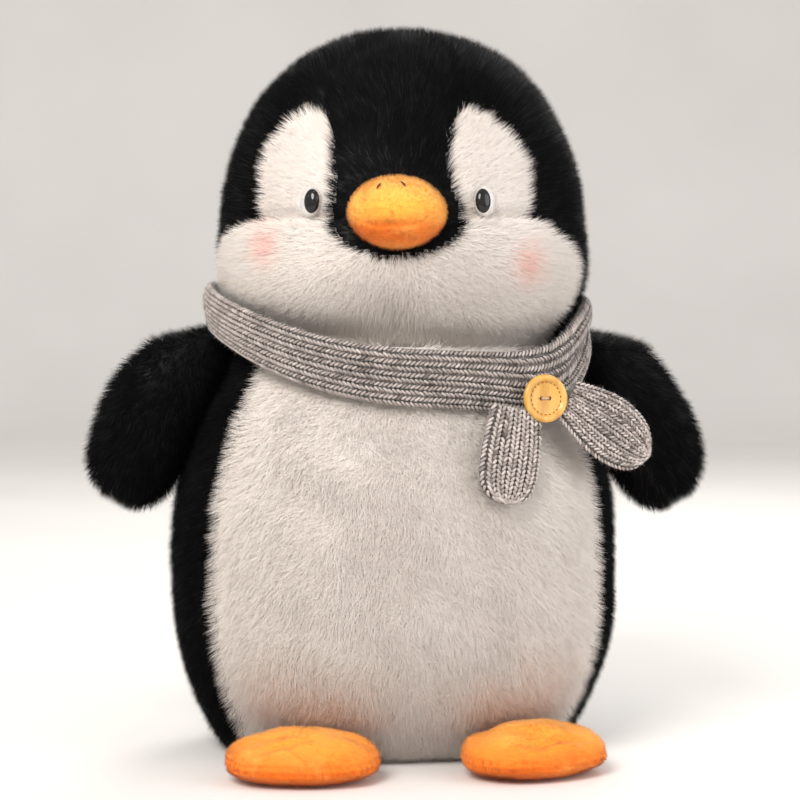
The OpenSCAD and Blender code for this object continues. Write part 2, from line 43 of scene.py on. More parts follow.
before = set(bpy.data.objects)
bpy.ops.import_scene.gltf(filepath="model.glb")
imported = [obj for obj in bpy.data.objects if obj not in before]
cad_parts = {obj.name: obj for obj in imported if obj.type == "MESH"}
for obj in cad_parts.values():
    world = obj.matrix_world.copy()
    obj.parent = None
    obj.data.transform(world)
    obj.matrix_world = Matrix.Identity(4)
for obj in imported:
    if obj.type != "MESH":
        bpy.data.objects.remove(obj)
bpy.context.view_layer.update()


# ---------------------------------------------------------------- small helpers


def seeded(name):
    """A random generator that is always the same for one name."""
    return np.random.default_rng(zlib.crc32(name.encode()))


def sind(angle):
    return np.sin(np.radians(angle))


def cosd(angle):
    return np.cos(np.radians(angle))


def signed_power(value, power):
    return np.sign(value) * np.abs(value) ** power


def unit(vectors):
    return vectors / np.maximum(np.linalg.norm(vectors, axis=-1, keepdims=True), 1e-9)


def bell(value, width):
    return np.exp(-((value / width) ** 2))


def smooth_step(value, low, high):
    t = np.clip((value - low) / (high - low), 0, 1)
    return t * t * (3 - 2 * t)


def mix(a, b, t):
    return a + (b - a) * t


def ripple(points, size, seed):
    """Smooth noise from -1 to 1 in space, from a few crossing waves of about that size."""
    rng = seeded(f"ripple{seed}")
    total = np.zeros(points.shape[:-1])
    waves = 7
    for _ in range(waves):
        way = unit(rng.normal(size=3))
        total += np.sin(points @ way * (2 * math.pi / size) * rng.uniform(0.7, 1.4)
                        + rng.uniform(0, 2 * math.pi))
    return total / math.sqrt(waves * 2)


def turned_z(points, angle):
    c, s = cosd(angle), sind(angle)
    x, y, z = np.moveaxis(points, -1, 0)
    return np.stack([x * c - y * s, x * s + y * c, z], axis=-1)


def turned_y(points, angle):
    c, s = cosd(angle), sind(angle)
    x, y, z = np.moveaxis(points, -1, 0)
    return np.stack([x * c + z * s, y, z * c - x * s], axis=-1)


def turned_x(points, angle):
    c, s = cosd(angle), sind(angle)
    x, y, z = np.moveaxis(points, -1, 0)
    return np.stack([x, y * c - z * s, y * s + z * c], axis=-1)


def mirrored(points, side):
    return points * np.array([side, 1, 1])


# ---------------------------------------------------------------- meshes


def link(obj):
    bpy.context.scene.collection.objects.link(obj)
    return obj


def add_mesh(name, points, faces, materials, face_material=None, normals=None):
    """An object from points in millimetres and faces with equal corner counts."""
    me = bpy.data.meshes.new(name)
    faces = np.asarray(faces, np.int32)
    count, corners = faces.shape
    me.vertices.add(len(points))
    me.vertices.foreach_set("co", (np.asarray(points) * MM).astype(np.float32).ravel())
    me.loops.add(count * corners)
    me.loops.foreach_set("vertex_index", faces.ravel())
    me.polygons.add(count)
    me.polygons.foreach_set("loop_start", np.arange(0, count * corners, corners, dtype=np.int32))
    for mat in materials:
        me.materials.append(mat)
    if face_material is not None:
        me.polygons.foreach_set("material_index", np.asarray(face_material, np.int32))
    me.update(calc_edges=True)
    me.shade_smooth()
    if normals is not None:
        custom = me.attributes.new("custom_normal", "FLOAT_VECTOR", "POINT")
        custom.data.foreach_set("vector", normals.astype(np.float32).ravel())
    return link(bpy.data.objects.new(name, me))


def dress(piece, body, slot, *nodes):
    """Fastens a finished piece to a body and hides the imported parts it stands for; slot is not
    used.
    """
    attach(piece, body)
    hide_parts(*nodes)


def grid_faces(rows, cols, wrap=False, ring=False):
    """Quads of a grid; wrap joins the last column to the first, ring the last row."""
    row_count, col_count = rows if ring else rows - 1, cols if wrap else cols - 1
    r, c = np.meshgrid(np.arange(row_count), np.arange(col_count), indexing="ij")
    below, right = (r + 1) % rows, (c + 1) % cols
    quads = [r * cols + c, r * cols + right, below * cols + right, below * cols + c]
    return np.stack(quads, axis=-1).reshape(-1, 4)


def closed_grid(grid):
    """Points and quads of a grid wrapped round, with both ends closed by a middle point."""
    rows, cols = grid.shape[:2]
    points = np.concatenate([grid.reshape(-1, 3), [grid[0].mean(0)], [grid[-1].mean(0)]])
    low, high = rows * cols, rows * cols + 1
    c = np.arange(0, cols, 2)
    nxt, over = (c + 1) % cols, (c + 2) % cols
    first = (rows - 1) * cols
    low_fan = np.stack([over, nxt, c, np.full_like(c, low)], axis=-1)
    high_fan = np.stack([first + c, first + nxt, first + over, np.full_like(c, high)], axis=-1)
    return points, np.concatenate([grid_faces(rows, cols, wrap=True), low_fan, high_fan])


def grid_normals(grid, wrap):
    """Unit normals of a grid of points, outward for columns that run round to the left."""
    if wrap:
        across = np.roll(grid, -1, 1) - np.roll(grid, 1, 1)
    else:
        across = np.gradient(grid, axis=1)
    return unit(np.cross(across, np.gradient(grid, axis=0)))


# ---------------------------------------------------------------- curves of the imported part

PLAN_POWER = 2.15


def plan(angle, half_w, front, back):
    """x, y on a section squarer than an ellipse; the angle runs from the front to +X."""
    s, c = sind(angle), cosd(angle)
    x = half_w * signed_power(s, 2 / PLAN_POWER)
    y = -np.where(c >= 0, front, back) * signed_power(c, 2 / PLAN_POWER)
    return x, y


def plan_angle(x, half_w):
    return np.degrees(np.arcsin(np.minimum(1, x / half_w) ** (PLAN_POWER / 2)))


WIDE_Z = 78
NECK_Z = 196
NECK_ROUND = 9
BELLY_EDGE = 59.5
# sizes at the base, at the widest level and at the neck
TORSO_HALF_W = (80, 106, 78)
TORSO_FRONT = (48, 90, 72)
TORSO_BACK = (60, 82, 68)


def torso_size(z, low, wide, high):
    below = 1 - (np.maximum(0, WIDE_Z - z) / WIDE_Z) ** 2.3
    rise = np.clip((z - WIDE_Z) / (NECK_Z - WIDE_Z), 0, 1)
    above = (1 + cosd(180 * rise**1.8)) / 2
    top = np.maximum(0, z - NECK_Z + NECK_ROUND)
    edge = NECK_ROUND - np.sqrt(np.maximum(0, NECK_ROUND**2 - top**2))
    return np.where(z < WIDE_Z, mix(low, wide, below), mix(high, wide, above)) - edge


def torso_point(angle, z, inset):
    sizes = (torso_size(z, *size) - inset for size in (TORSO_HALF_W, TORSO_FRONT, TORSO_BACK))
    x, y = plan(angle, *sizes)
    return np.stack([x, y, z + 0 * x], axis=-1)


HEAD_WIDE_Z = 243
CROWN_Z = 347
HEAD_LOW_Z = 196.6
JAW_DEPTH = 62
CROWN_POWER = 2.2
JAW_POWER = 2.6
HEAD_SIZE = (89, 80, 80)
HEAD_YAW = -10
HEAD_SHIFT = np.array([4.2, 0, 0])
HEAD_FUR_DEPTH = 5.0
CHEEK_Z = 254.5
CHEEK_LOW_Z = 205
CHEEK_PUFF = 7
CHEEK_REACH = 86
STRIP_LOW_Z = 236.5
STRIP_BEAK_W = 31
PATCH_TOP_Z = 306
PATCH_WIDE_Z = mix(CHEEK_Z, PATCH_TOP_Z, 0.46)
# in pairs, first for the toy's left side: the patches' x, the cheeks' angle and depth
PATCH_PEAK = (35, 43)
PATCH_INNER = (24.5, 30.5)
PATCH_OUTER = (62, 66)
CHEEK_WIDE = (70, 84)
FLARE_DEPTH = (27, 18)


def slope_at(z):
    up = np.clip((z - HEAD_WIDE_Z) / (CROWN_Z - HEAD_WIDE_Z), 0, 1) ** (CROWN_POWER / 2)
    down = np.clip((HEAD_WIDE_Z - z) / JAW_DEPTH, 0, 1) ** (JAW_POWER / 2)
    return np.where(z >= HEAD_WIDE_Z, np.degrees(np.arcsin(up)), -np.degrees(np.arcsin(down)))


def head_z(slope, inset=0.0):
    up = np.maximum(0, sind(slope)) ** (2 / CROWN_POWER)
    down = np.maximum(0, -sind(slope)) ** (2 / JAW_POWER)
    return np.where(
        slope >= 0,
        HEAD_WIDE_Z + (CROWN_Z - HEAD_WIDE_Z - inset) * up,
        np.maximum(HEAD_LOW_Z, HEAD_WIDE_Z - JAW_DEPTH * down),
    )


def head_ring(slope):
    c = np.maximum(0, cosd(slope))
    return np.where(slope >= 0, c ** (2 / CROWN_POWER), c ** (2 / JAW_POWER))


def head_w(z):
    return HEAD_SIZE[0] * head_ring(slope_at(z))


def head_place(points):
    """Turns and shifts a part of the straight head to where the head is at rest."""
    return turned_z(points, HEAD_YAW) + HEAD_SHIFT


def folded(angle):
    """An angle from the front as its distance from the front, 0 to 180."""
    return np.abs((angle + 180) % 360 - 180)


def puff(angle, z):
    """How far the stuffed cheeks stand out, less at the seam of the chin."""
    reach = folded(angle)
    level = np.clip((z - CHEEK_LOW_Z) / (CHEEK_Z - CHEEK_LOW_Z), 0, 1)
    fade = np.maximum(0, cosd(np.minimum(reach, CHEEK_REACH) * 90 / CHEEK_REACH))
    swell = CHEEK_PUFF * fade**0.6
    return swell * np.maximum(0, sind(180 * level)) ** 0.8 * (1 - 0.35 * bell(reach, 7))


def head_point(angle, slope, inset):
    ring = head_ring(slope)
    swell = puff(angle, head_z(slope)) - inset * ring
    x, y = plan(angle, *(size * ring + swell for size in HEAD_SIZE))
    return np.stack([x, y, head_z(slope, inset) + 0 * x], axis=-1)


def patch_rise(z):
    """0 at the widest level of the eye patches and 1 at their top."""
    return np.clip((z - PATCH_WIDE_Z) / (PATCH_TOP_Z - PATCH_WIDE_Z), 0, 1)


def own(pair, side):
    """The first value on the left of the toy, the second on its right."""
    return np.where(np.asarray(side) < 0, pair[1], pair[0])


def strip_angle(z, side=1):
    """Angle from the front where the dark strip of the face ends."""
    fall = np.clip((CHEEK_Z - z) / (CHEEK_Z - STRIP_LOW_Z), 0, 1)
    peak, inner = own(PATCH_PEAK, side), own(PATCH_INNER, side)
    edge = mix(peak, inner, np.sqrt(1 - patch_rise(z) ** 4))
    edge = mix(STRIP_BEAK_W, edge, smooth_step(z, CHEEK_Z, CHEEK_Z + 24))
    x = np.where(z >= CHEEK_Z, edge, STRIP_BEAK_W * np.sqrt(1 - fall**2))
    high = plan_angle(peak, head_w(PATCH_TOP_Z))
    return np.where(z >= PATCH_TOP_Z, high, np.where(z < STRIP_LOW_Z, 0, plan_angle(x, head_w(z))))


def patch_angle(z, side=1):
    """Angle from the front where an eye patch ends."""
    bow = (1 - patch_rise(z) ** 1.6) ** 0.7
    x = mix(own(PATCH_PEAK, side), own(PATCH_OUTER, side), bow)
    return np.where(z >= PATCH_TOP_Z, strip_angle(z, side), plan_angle(x, head_w(z)))


def hood_angle(z, side=1):
    """Angle from the front where the dark hood begins."""
    flare_z = CHEEK_Z - own(FLARE_DEPTH, side)
    wide = own(CHEEK_WIDE, side)
    spread = sind(90 * np.clip((CHEEK_Z - z) / (CHEEK_Z - flare_z), 0, 1))
    upper = mix(patch_angle(np.array(CHEEK_Z), side), wide, spread)
    lower = mix(wide, wide - 3, (flare_z - z) / (flare_z - HEAD_LOW_Z))
    return np.where(z >= CHEEK_Z, patch_angle(z, side), np.where(z >= flare_z, upper, lower))


SHOULDER = np.array([96, 0, 182])
WING_ROOT = 3
WING_RISE = 6
WING_HALF_L = 37.5
SPREAD = {1: 30, -1: 27.5}


def wing_place(points, side):
    out = points + np.array([WING_HALF_L - WING_ROOT, 0, WING_RISE])
    return mirrored(turned_y(out, 90 - SPREAD[side]) + SHOULDER, side)


FOOT_AT = np.array([53, -83, 0])
FOOT_SPLAY = {1: 22, -1: 8}


def foot_place(points, side):
    return mirrored(turned_z(points, FOOT_SPLAY[side]) + FOOT_AT, side)


# ---------------------------------------------------------------- materials


def material(name, colour, rough, sheen=0.0, specular=0.3, coat=0.0):
    """A plain surface; values that hold all over are set on the shader itself."""
    mat = bpy.data.materials.new(name)
    mat.use_nodes = True
    shader = mat.node_tree.nodes["Principled BSDF"]
    shader.inputs["Base Color"].default_value = (*colour, 1)
    shader.inputs["Roughness"].default_value = rough
    shader.inputs["Sheen Weight"].default_value = sheen
    shader.inputs["Sheen Roughness"].default_value = 0.4
    shader.inputs["Specular IOR Level"].default_value = specular
    shader.inputs["Coat Weight"].default_value = coat
    shader.inputs["Coat Roughness"].default_value = 0.04
    return mat


class Nodes:
    """Builds a procedural material's nodes with few words."""

    def __init__(self, mat):
        self.mat = mat
        self.tree = mat.node_tree
        self.shader = self.tree.nodes["Principled BSDF"]
        self.where = self.add("TexCoord").outputs["Object"]

    def add(self, kind):
        return self.tree.nodes.new("ShaderNode" + kind)

    def join(self, source, target):
        self.tree.links.new(source, target)

    def noise(self, scale, detail=3.0, where=None):
        node = self.add("TexNoise")
        node.inputs["Scale"].default_value = scale
        node.inputs["Detail"].default_value = detail
        self.join(where or self.where, node.inputs["Vector"])
        return node.outputs["Fac"]

    def stretch(self, scale):
        node = self.add("Mapping")
        node.inputs["Scale"].default_value = scale
        self.join(self.where, node.inputs["Vector"])
        return node.outputs["Vector"]

    def ramp(self, value, stops):
        node = self.add("ValToRGB")
        ramp = node.color_ramp
        while len(ramp.elements) < len(stops):
            ramp.elements.new(0.5)
        for element, (position, colour) in zip(ramp.elements, stops):
            element.position = position
            element.color = (*colour, 1)
        self.join(value, node.inputs["Fac"])
        return node.outputs["Color"]

    def blend(self, factor, a, b):
        node = self.add("Mix")
        node.data_type = "RGBA"
        self.join(factor, node.inputs["Factor"])
        colour_pins = [p for p in node.inputs if p.type == "RGBA"]
        for value, pin in ((a, colour_pins[0]), (b, colour_pins[1])):
            if isinstance(value, tuple):
                pin.default_value = (*value, 1)
            else:
                self.join(value, pin)
        return [p for p in node.outputs if p.type == "RGBA"][0]

    def span(self, value, low, high, to_low=0.0, to_high=1.0):
        node = self.add("MapRange")
        for pin, number in zip(node.inputs[1:5], (low, high, to_low, to_high)):
            pin.default_value = number
        self.join(value, node.inputs["Value"])
        return node.outputs["Result"]

    def height(self):
        node = self.add("SeparateXYZ")
        self.join(self.where, node.inputs["Vector"])
        return node.outputs["Z"]

    def colour(self, value):
        self.join(value, self.shader.inputs["Base Color"])

    def rough(self, value):
        self.join(value, self.shader.inputs["Roughness"])

    def bump(self, value, strength, distance):
        node = self.add("Bump")
        node.inputs["Strength"].default_value = strength
        node.inputs["Distance"].default_value = distance
        self.join(value, node.inputs["Height"])
        self.join(node.outputs["Normal"], self.shader.inputs["Normal"])


def shades(name, dark, light, count, rough, **finish):
    """Plain materials between two colours, one for each share of the hairs."""
    steps = np.linspace(0, 1, count)
    dark, light = np.array(dark), np.array(light)
    return [
        material(f"{name}_{i + 1}", tuple(mix(dark, light, t)), rough, **finish)
        for i, t in enumerate(steps)
    ]


def backing(name, dark, light):
    """Knitted backing of the plush, seen only between the hairs."""
    n = Nodes(material(name, light, 0.9, sheen=0.2, specular=0.15))
    n.colour(n.ramp(n.noise(900, 4), [(0.35, dark), (0.65, light)]))
    n.bump(n.noise(1500, 2), 0.5, 0.0006)
    return n.mat


def velvet(name, stops, pale):
    """Short velvet with painted light and shade by height in millimetres, and paler brushed patches.
    """
    n = Nodes(material(name, stops[-1][1], 0.75, sheen=0.45, specular=0.2))
    n.shader.inputs["Sheen Tint"].default_value = (1.0, 0.75, 0.4, 1)
    low, high = stops[0][0], stops[-1][0]
    level = n.span(n.height(), low * MM, high * MM)
    # painted light and shade: the colour follows the height
    painted_shading = n.ramp(level, [((z - low) / (high - low), colour) for z, colour in stops])
    patches = n.span(n.noise(38, 2.5), 0.5, 0.74, 0.0, 0.7)
    n.colour(n.blend(patches, painted_shading, pale))
    n.rough(n.span(n.noise(300, 3), 0.3, 0.7, 0.62, 0.88))
    n.bump(n.noise(2400, 3), 0.35, 0.0004)
    return n.mat


WHITE_HAIR = shades("white_hair", (0.77, 0.69, 0.63), (0.94, 0.875, 0.815), 7, 0.62, sheen=0.08)
BLACK_HAIR = shades("black_hair", (0.0012, 0.0012, 0.0014), (0.005, 0.005, 0.0055), 4, 0.6,
                    specular=0.05)
# The glint hairs are glossier and painted a little lighter; the lighter colour is a painted glint.
BLACK_HAIR += shades("black_glint", (0.007, 0.007, 0.0075), (0.007, 0.007, 0.0075), 1, 0.35,
                     specular=0.16)
BLUSH_HAIR = shades("blush_hair", (0.92, 0.79, 0.73), (0.92, 0.55, 0.48), 4, 0.62, sheen=0.08)
VELVET_HAIR = shades("velvet_hair", (0.8, 0.165, 0.012), (0.97, 0.42, 0.085), 6, 0.65, sheen=0.1)
YARN = shades("grey_yarn", (0.085, 0.07, 0.062), (0.54, 0.475, 0.445), 8, 0.85, sheen=0.25,
              specular=0.15)
WHITE_BACKING = backing("white_backing", (0.62, 0.58, 0.55), (0.82, 0.79, 0.76))
BLACK_BACKING = backing("black_backing", (0.002, 0.002, 0.002), (0.006, 0.006, 0.007))


# ---------------------------------------------------------------- hair


class Roots:
    """Places where hairs grow: position, outward normal and labels, as equal arrays."""

    def __init__(self, **arrays):
        self.__dict__.update(arrays)

    def pick(self, mask):
        return Roots(**{k: v[mask] for k, v in self.__dict__.items()})

    def __len__(self):
        return len(self.at)


def scatter(grid, density, name, wrap=True, **labels):
    """Roots spread evenly by area over a grid; labels are further values of its points."""
    rng = seeded(name)
    rows, cols = grid.shape[:2]
    quads = grid_faces(rows, cols, wrap)
    flat = grid.reshape(-1, 3)
    a, b, c, d = (flat[quads[:, i]] for i in range(4))
    area = 0.5 * np.linalg.norm(np.cross(c - a, d - b), axis=-1)
    count = int(area.sum() * density)
    chosen = rng.choice(len(quads), size=count, p=area / area.sum())
    s, t = rng.random(count)[:, None], rng.random(count)[:, None]
    corner = quads[chosen]

    def inside(values):
        v = values.reshape(rows * cols, -1)[corner]
        low = mix(v[:, 0], v[:, 1], s)
        return mix(low, mix(v[:, 3], v[:, 2], s), t)

    normals = unit(inside(grid_normals(grid, wrap)))
    found = {k: inside(v)[:, 0] for k, v in labels.items()}
    return Roots(at=inside(grid), normal=normals, **found)


def hair_directions(roots, comb, lean, spread, rng):
    """Unit directions that lean from the normal along the comb, each a little its own way."""
    flat = comb - (comb * roots.normal).sum(-1, keepdims=True) * roots.normal
    flat = unit(flat + 0.02 * rng.normal(size=flat.shape))
    lean = np.radians(lean)[:, None] if np.ndim(lean) else np.radians(lean)
    ways = roots.normal * np.cos(lean) + flat * np.sin(lean)
    return unit(ways + spread * rng.normal(size=ways.shape))


def gather_clumps(roots, ways, lengths, size, pull, rng):
    """Tips of the hairs after neighbours have drawn together into small tufts."""
    tips = roots.at + ways * lengths[:, None]
    warped = roots.at + size * 0.8 * np.stack(
        [ripple(roots.at, size * 5, f"{size}{axis}") for axis in "xyz"], axis=-1)
    cell = np.floor(warped / size).astype(np.int64)
    cell -= cell.min(0)
    span = cell.max(0) + 1
    key = (cell[:, 0] * span[1] + cell[:, 1]) * span[2] + cell[:, 2]
    _, tuft = np.unique(key, return_inverse=True)
    tufts = tuft.max() + 1
    many = np.bincount(tuft, minlength=tufts)[:, None]
    meet = np.stack([np.bincount(tuft, tips[:, i], tufts) for i in range(3)], -1) / many
    meet = meet + rng.normal(size=meet.shape) * size * 0.22
    share = pull * rng.uniform(0.4, 1.0, len(tips))[:, None]
    return mix(tips, meet[tuft], share), tuft


# hairs for each square millimetre
DENSITY = {"torso": 2.8, "head": 3.0, "wing": 3.0}

ROOT_DEPTH = 0.6
FLOOR_CLEAR = 0.4
MOST_HAIRS = 49000


def hair_mesh(name, roots, tips, width, slot_of, slots):
    """Closed three-sided hairs from roots to tips."""
    way = unit(tips - roots.at)
    side = unit(np.cross(way, roots.normal + 0.01))
    up = np.cross(side, way)
    start = roots.at - ROOT_DEPTH * roots.normal
    ring = []
    soft = []
    for turn in (90, 210, 330):
        out = side * cosd(turn) + up * sind(turn)
        ring.append(start + out * width[:, None])
        soft.append(unit(0.45 * out + roots.normal))
    points = np.stack([*ring, tips], axis=1).reshape(-1, 3)
    normals = np.stack([*soft, unit(roots.normal + 0.3 * way)], axis=1).reshape(-1, 3)
    first = 4 * np.arange(len(tips))[:, None]
    sides = [first + np.array(f) for f in ((1, 0, 3), (2, 1, 3), (0, 2, 3), (0, 1, 2))]
    faces = np.stack(sides, axis=1).reshape(-1, 3)
    return add_mesh(name, points, faces, slots, np.repeat(slot_of, 4), normals)


def hair_shades(roots, tuft, count, rng):
    """A shade for each hair: slow changes, a step from tuft to tuft and a fine mix."""
    tufts = rng.normal(size=tuft.max() + 1)[tuft]
    patch = 0.5 + 0.16 * ripple(roots.at, 38, "shade") + 0.12 * tufts
    value = np.clip(patch + 0.2 * rng.normal(size=len(roots)), 0, 0.999)
    return (value * count).astype(int)


def grow(name, roots, comb, body, slot, nodes, slots, length=9.0, lean=45.0, spread=0.22,
         clump=4.5, pull=0.45, width=0.2, shade=None, trim=None):
    """Grows hairs on roots, in pieces that aren't too big, and fastens them to a body.

    The body may also be a function that fastens a piece.
    """
    rng = seeded(name)
    ways = hair_directions(roots, comb, lean, spread, rng)
    lengths = length * rng.uniform(0.78, 1.12, len(roots))
    if trim is not None:
        lengths = lengths * trim
    tips, tuft = gather_clumps(roots, ways, lengths, clump, pull, rng)
    tips[:, 2] = np.maximum(tips[:, 2], FLOOR_CLEAR + rng.random(len(tips)))
    thick = width * rng.uniform(0.8, 1.2, len(roots)) * np.sqrt(np.clip(lengths / length, 0.3, 1))
    if shade is None:
        shade = hair_shades(roots, tuft, len(slots), rng)
    chunks = math.ceil(len(roots) / MOST_HAIRS)
    order = np.argsort(roots.at[:, 0] + 0.3 * roots.at[:, 2], kind="stable")
    made = []
    for i, part in enumerate(np.array_split(order, chunks)):
        piece_name = name if chunks == 1 else f"{name}_{i + 1}"
        piece = hair_mesh(piece_name, roots.pick(part), tips[part], thick[part], shade[part], slots)
        if callable(body):
            body(piece)
        else:
            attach(piece, body)
        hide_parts(*nodes)
        made.append(piece)
    return made


# ---------------------------------------------------------------- torso

FUR_DEPTH = 3.0
BASE_Z = 1.6
WHITE_COAT = dict(length=8.2, spread=0.3, clump=3.2, pull=0.36, width=0.15)
BLACK_COAT = dict(length=8.4, spread=0.26, clump=3.4, pull=0.42, width=0.15)


def build_torso():
    cols = 180
    z = np.concatenate([
        np.linspace(BASE_Z, 20, 9), np.linspace(24, NECK_Z - 12, 44),
        np.linspace(NECK_Z - 9.5, NECK_Z - 1.2, 5),
    ])
    angle = np.linspace(0, 360, cols, endpoint=False)
    levels, angles = np.meshgrid(z, angle, indexing="ij")
    grid = torso_point(angles, levels, FUR_DEPTH)
    reach = folded(angles)
    seam = bell((reach - BELLY_EDGE) * 1.6, 3.0) + bell((reach - 180) * 1.4, 3.0)
    out = grid_normals(grid, True)
    rest = smooth_step(levels, 4, 20)[..., None]
    grid = grid + out * rest * (0.8 * ripple(grid, 60, "torso") - 1.2 * seam)[..., None]
    points, faces = closed_grid(grid)
    middle = points[faces].mean(1)
    white = np.abs(np.degrees(np.arctan2(middle[:, 0], -middle[:, 1] * 1.15))) < BELLY_EDGE
    skin = add_mesh("torso_skin", points, faces, [WHITE_BACKING, BLACK_BACKING], ~white)
    dress(skin, "torso", "stuffing", "torso_filling", "base_panel")
    grow_torso_fur(scatter(grid, DENSITY["torso"], "torso", reach=reach))


def grow_torso_fur(roots):
    """White pile on the belly, black pile behind it, each leaning over their common seam."""
    edge = (roots.reach - BELLY_EDGE) * 1.65
    ragged = edge + 0.9 * ripple(roots.at, 9, "belly edge")
    comb = np.stack([0.004 * roots.at[:, 0], 0 * edge, -np.ones(len(roots))], -1)
    inward = tangent_to_front(roots)
    white = ragged < 0
    belly = roots.pick(white)
    grow("fur_belly", belly,
         comb[white] - 0.7 * (bell(edge, 6)[:, None] * inward)[white] + sway(belly, 0.5),
         "torso", "white_fur", ["belly_panel"], WHITE_HAIR, lean=46, **WHITE_COAT)
    for side, label in ((1, "left"), (-1, "right")):
        mask = ~white & (side * roots.at[:, 0] >= 0)
        back = roots.pick(mask)
        near = bell(edge[mask], 6)
        grow(f"fur_back_{label}", back,
             comb[mask] + 1.1 * near[:, None] * inward[mask] + sway(back, 0.4),
             "torso", "black_fur", [f"back_panel_{label}"], BLACK_HAIR,
             lean=48 + 8 * near, **BLACK_COAT)


def tangent_to_front(roots):
    """Level direction along the surface that leads towards the front of the toy."""
    side = np.sign(roots.at[:, 0:1])
    up = np.array([0, 0, 1.0])
    return unit(np.cross(np.broadcast_to(up, roots.normal.shape), roots.normal)) * -side


def sway(roots, amount):
    """A slow wander of the comb, so that the pile isn't brushed perfectly."""
    return amount * np.stack(
        [ripple(roots.at, 30, f"sway{axis}") for axis in "xyz"], axis=-1)


# ---------------------------------------------------------------- head

BEAK_Z = 256.0
BEAK_SIZE = (22.5, 27.0, 17.0)
BEAK_PLANE = 80 * float(head_ring(slope_at(np.array(BEAK_Z)))) - 2.4
EYE_Z = 261.5
EYE_X = 40.5
EYE_R = 6.0
EYE_TURN = 23
EYE_TIP = 8
EYE_SINK = 2.5
EYE_TALL = 1.2
EYE_SEAT = head_point(plan_angle(EYE_X, head_w(np.array(EYE_Z))), slope_at(np.array(EYE_Z)), 0)
BLUSHES = ((-58, 242), (57, 234))
BLUSH_R = 6.8
FACE_WOBBLE = 0.72
FACE_FRONT_Y = -40


def eye_gap(at, side):
    """Distance from the middle of an eye, in units of its half width."""
    away = at - mirrored(EYE_SEAT, side)
    return np.hypot(np.hypot(away[:, 0], away[:, 1]), away[:, 2] / EYE_TALL)


def seam_tuck(reach, z):
    """How deep the seams of the face draw the skin in."""
    under_eyes = bell(z - CHEEK_Z, 3.2) * smooth_step(62 - reach, 0, 14) * smooth_step(reach, 14, 20)
    chin = bell(reach, 4.5) * smooth_step(226 - z, 0, 14)
    crown = bell((reach - strip_angle(z)) * 1.5, 2.5) * smooth_step(z, 306, 316)
    back = bell((180 - reach) * 1.4, 3)
    hood = bell((reach - hood_angle(z)) * 1.5, 2.6)
    return 2.6 * under_eyes + 2.2 * chin + 0.7 * crown + 0.8 * back + 0.9 * hood


def build_head():
    cols = 320
    slope = np.concatenate([
        np.linspace(float(slope_at(np.array(HEAD_LOW_Z + 0.4))), 0, 60),
        np.linspace(0.7, 60, 84), np.linspace(62, 88.5, 20),
    ])
    angle = np.linspace(0, 360, cols, endpoint=False)
    slopes, angles = np.meshgrid(slope, angle, indexing="ij")
    grid = head_point(angles, slopes, HEAD_FUR_DEPTH)
    levels = head_z(slopes)
    out = grid_normals(grid, True)
    tuck = seam_tuck(folded(angles), levels) - 0.8 * ripple(grid, 55, "head")
    grid = grid - out * (tuck * smooth_step(88 - slopes, 0, 12))[..., None]
    points, faces = closed_grid(grid)
    dark = np.ones(len(faces), int)
    quads = grid_faces(*grid.shape[:2], wrap=True)
    dark[: len(quads)] = dark_backing(points, quads, folded(angles), levels)
    skin = add_mesh("head_skin", head_place(points), faces, [WHITE_BACKING, BLACK_BACKING], dark)
    dress(skin, "head", "stuffing", "head_filling")
    grow_head_fur(scatter(grid, DENSITY["head"], "head", reach=folded(angles), z=levels))


def dark_backing(points, quads, reach, levels):
    """Which quads of the head lie under black pile; a little less than the pile covers."""
    middle = points[quads].mean(1)
    side = np.sign(middle[:, 0])
    wobble = FACE_WOBBLE * ripple(middle, 9, "face edge")
    reach = reach.ravel()[quads].mean(1) + wobble
    z = levels.ravel()[quads].mean(1) + wobble
    dark_strip = head_zone(reach + 0.3, z - 0.3, side) == 1
    dark_hood = head_zone(reach - 0.5, z + 0.5, side) == 0
    return dark_strip | dark_hood | (z > PATCH_TOP_Z)


def head_zone(reach, z, side):
    """0 for the hood, 1 for the strip, 2 for an eye patch and 3 for a cheek."""
    strip, hood = strip_angle(z, side), hood_angle(z, side)
    reach = np.maximum(reach, 0.01)
    white = (reach >= strip) & (reach < hood)
    zone = np.where(reach < strip, 1, 0)
    return np.where(white, np.where(z >= CHEEK_Z, 2, 3), zone)


def head_comb(roots):
    """The pile of the head is brushed away from the beak, and down at the back."""
    y = roots.at[:, 1]
    away = unit(roots.at - np.array([0, -60, BEAK_Z]))
    back = smooth_step(y, -15, 45)[:, None]
    down = np.stack([0 * y, 0.6 + 0 * y, -np.ones(len(y))], -1)
    return mix(away, unit(down), back)


def face_trim(roots, zone):
    """Shorter pile beside the eyes and the beak, so that both stay in sight."""
    trim = np.ones(len(roots))
    for side in (1, -1):
        gap = eye_gap(roots.at, side)
        outer = side * (roots.at[:, 0] - side * EYE_X) > 0
        low = np.where(outer, 0.3, 1.1)
        trim *= mix(low, 1, smooth_step(gap, EYE_R, 13))
    x, y, z = roots.at.T
    front = y < FACE_FRONT_Y
    around = np.hypot(x / BEAK_SIZE[0], (z - BEAK_Z) / BEAK_SIZE[2])
    least = np.where(zone == 1, np.where(z < BEAK_Z - 4, 0.85, 0.55), 0.6)
    trim = np.where(front, trim * mix(least, 1, smooth_step(around, 1.0, 1.4)), trim)
    return np.where(zone == 2, 0.86 * trim, trim)


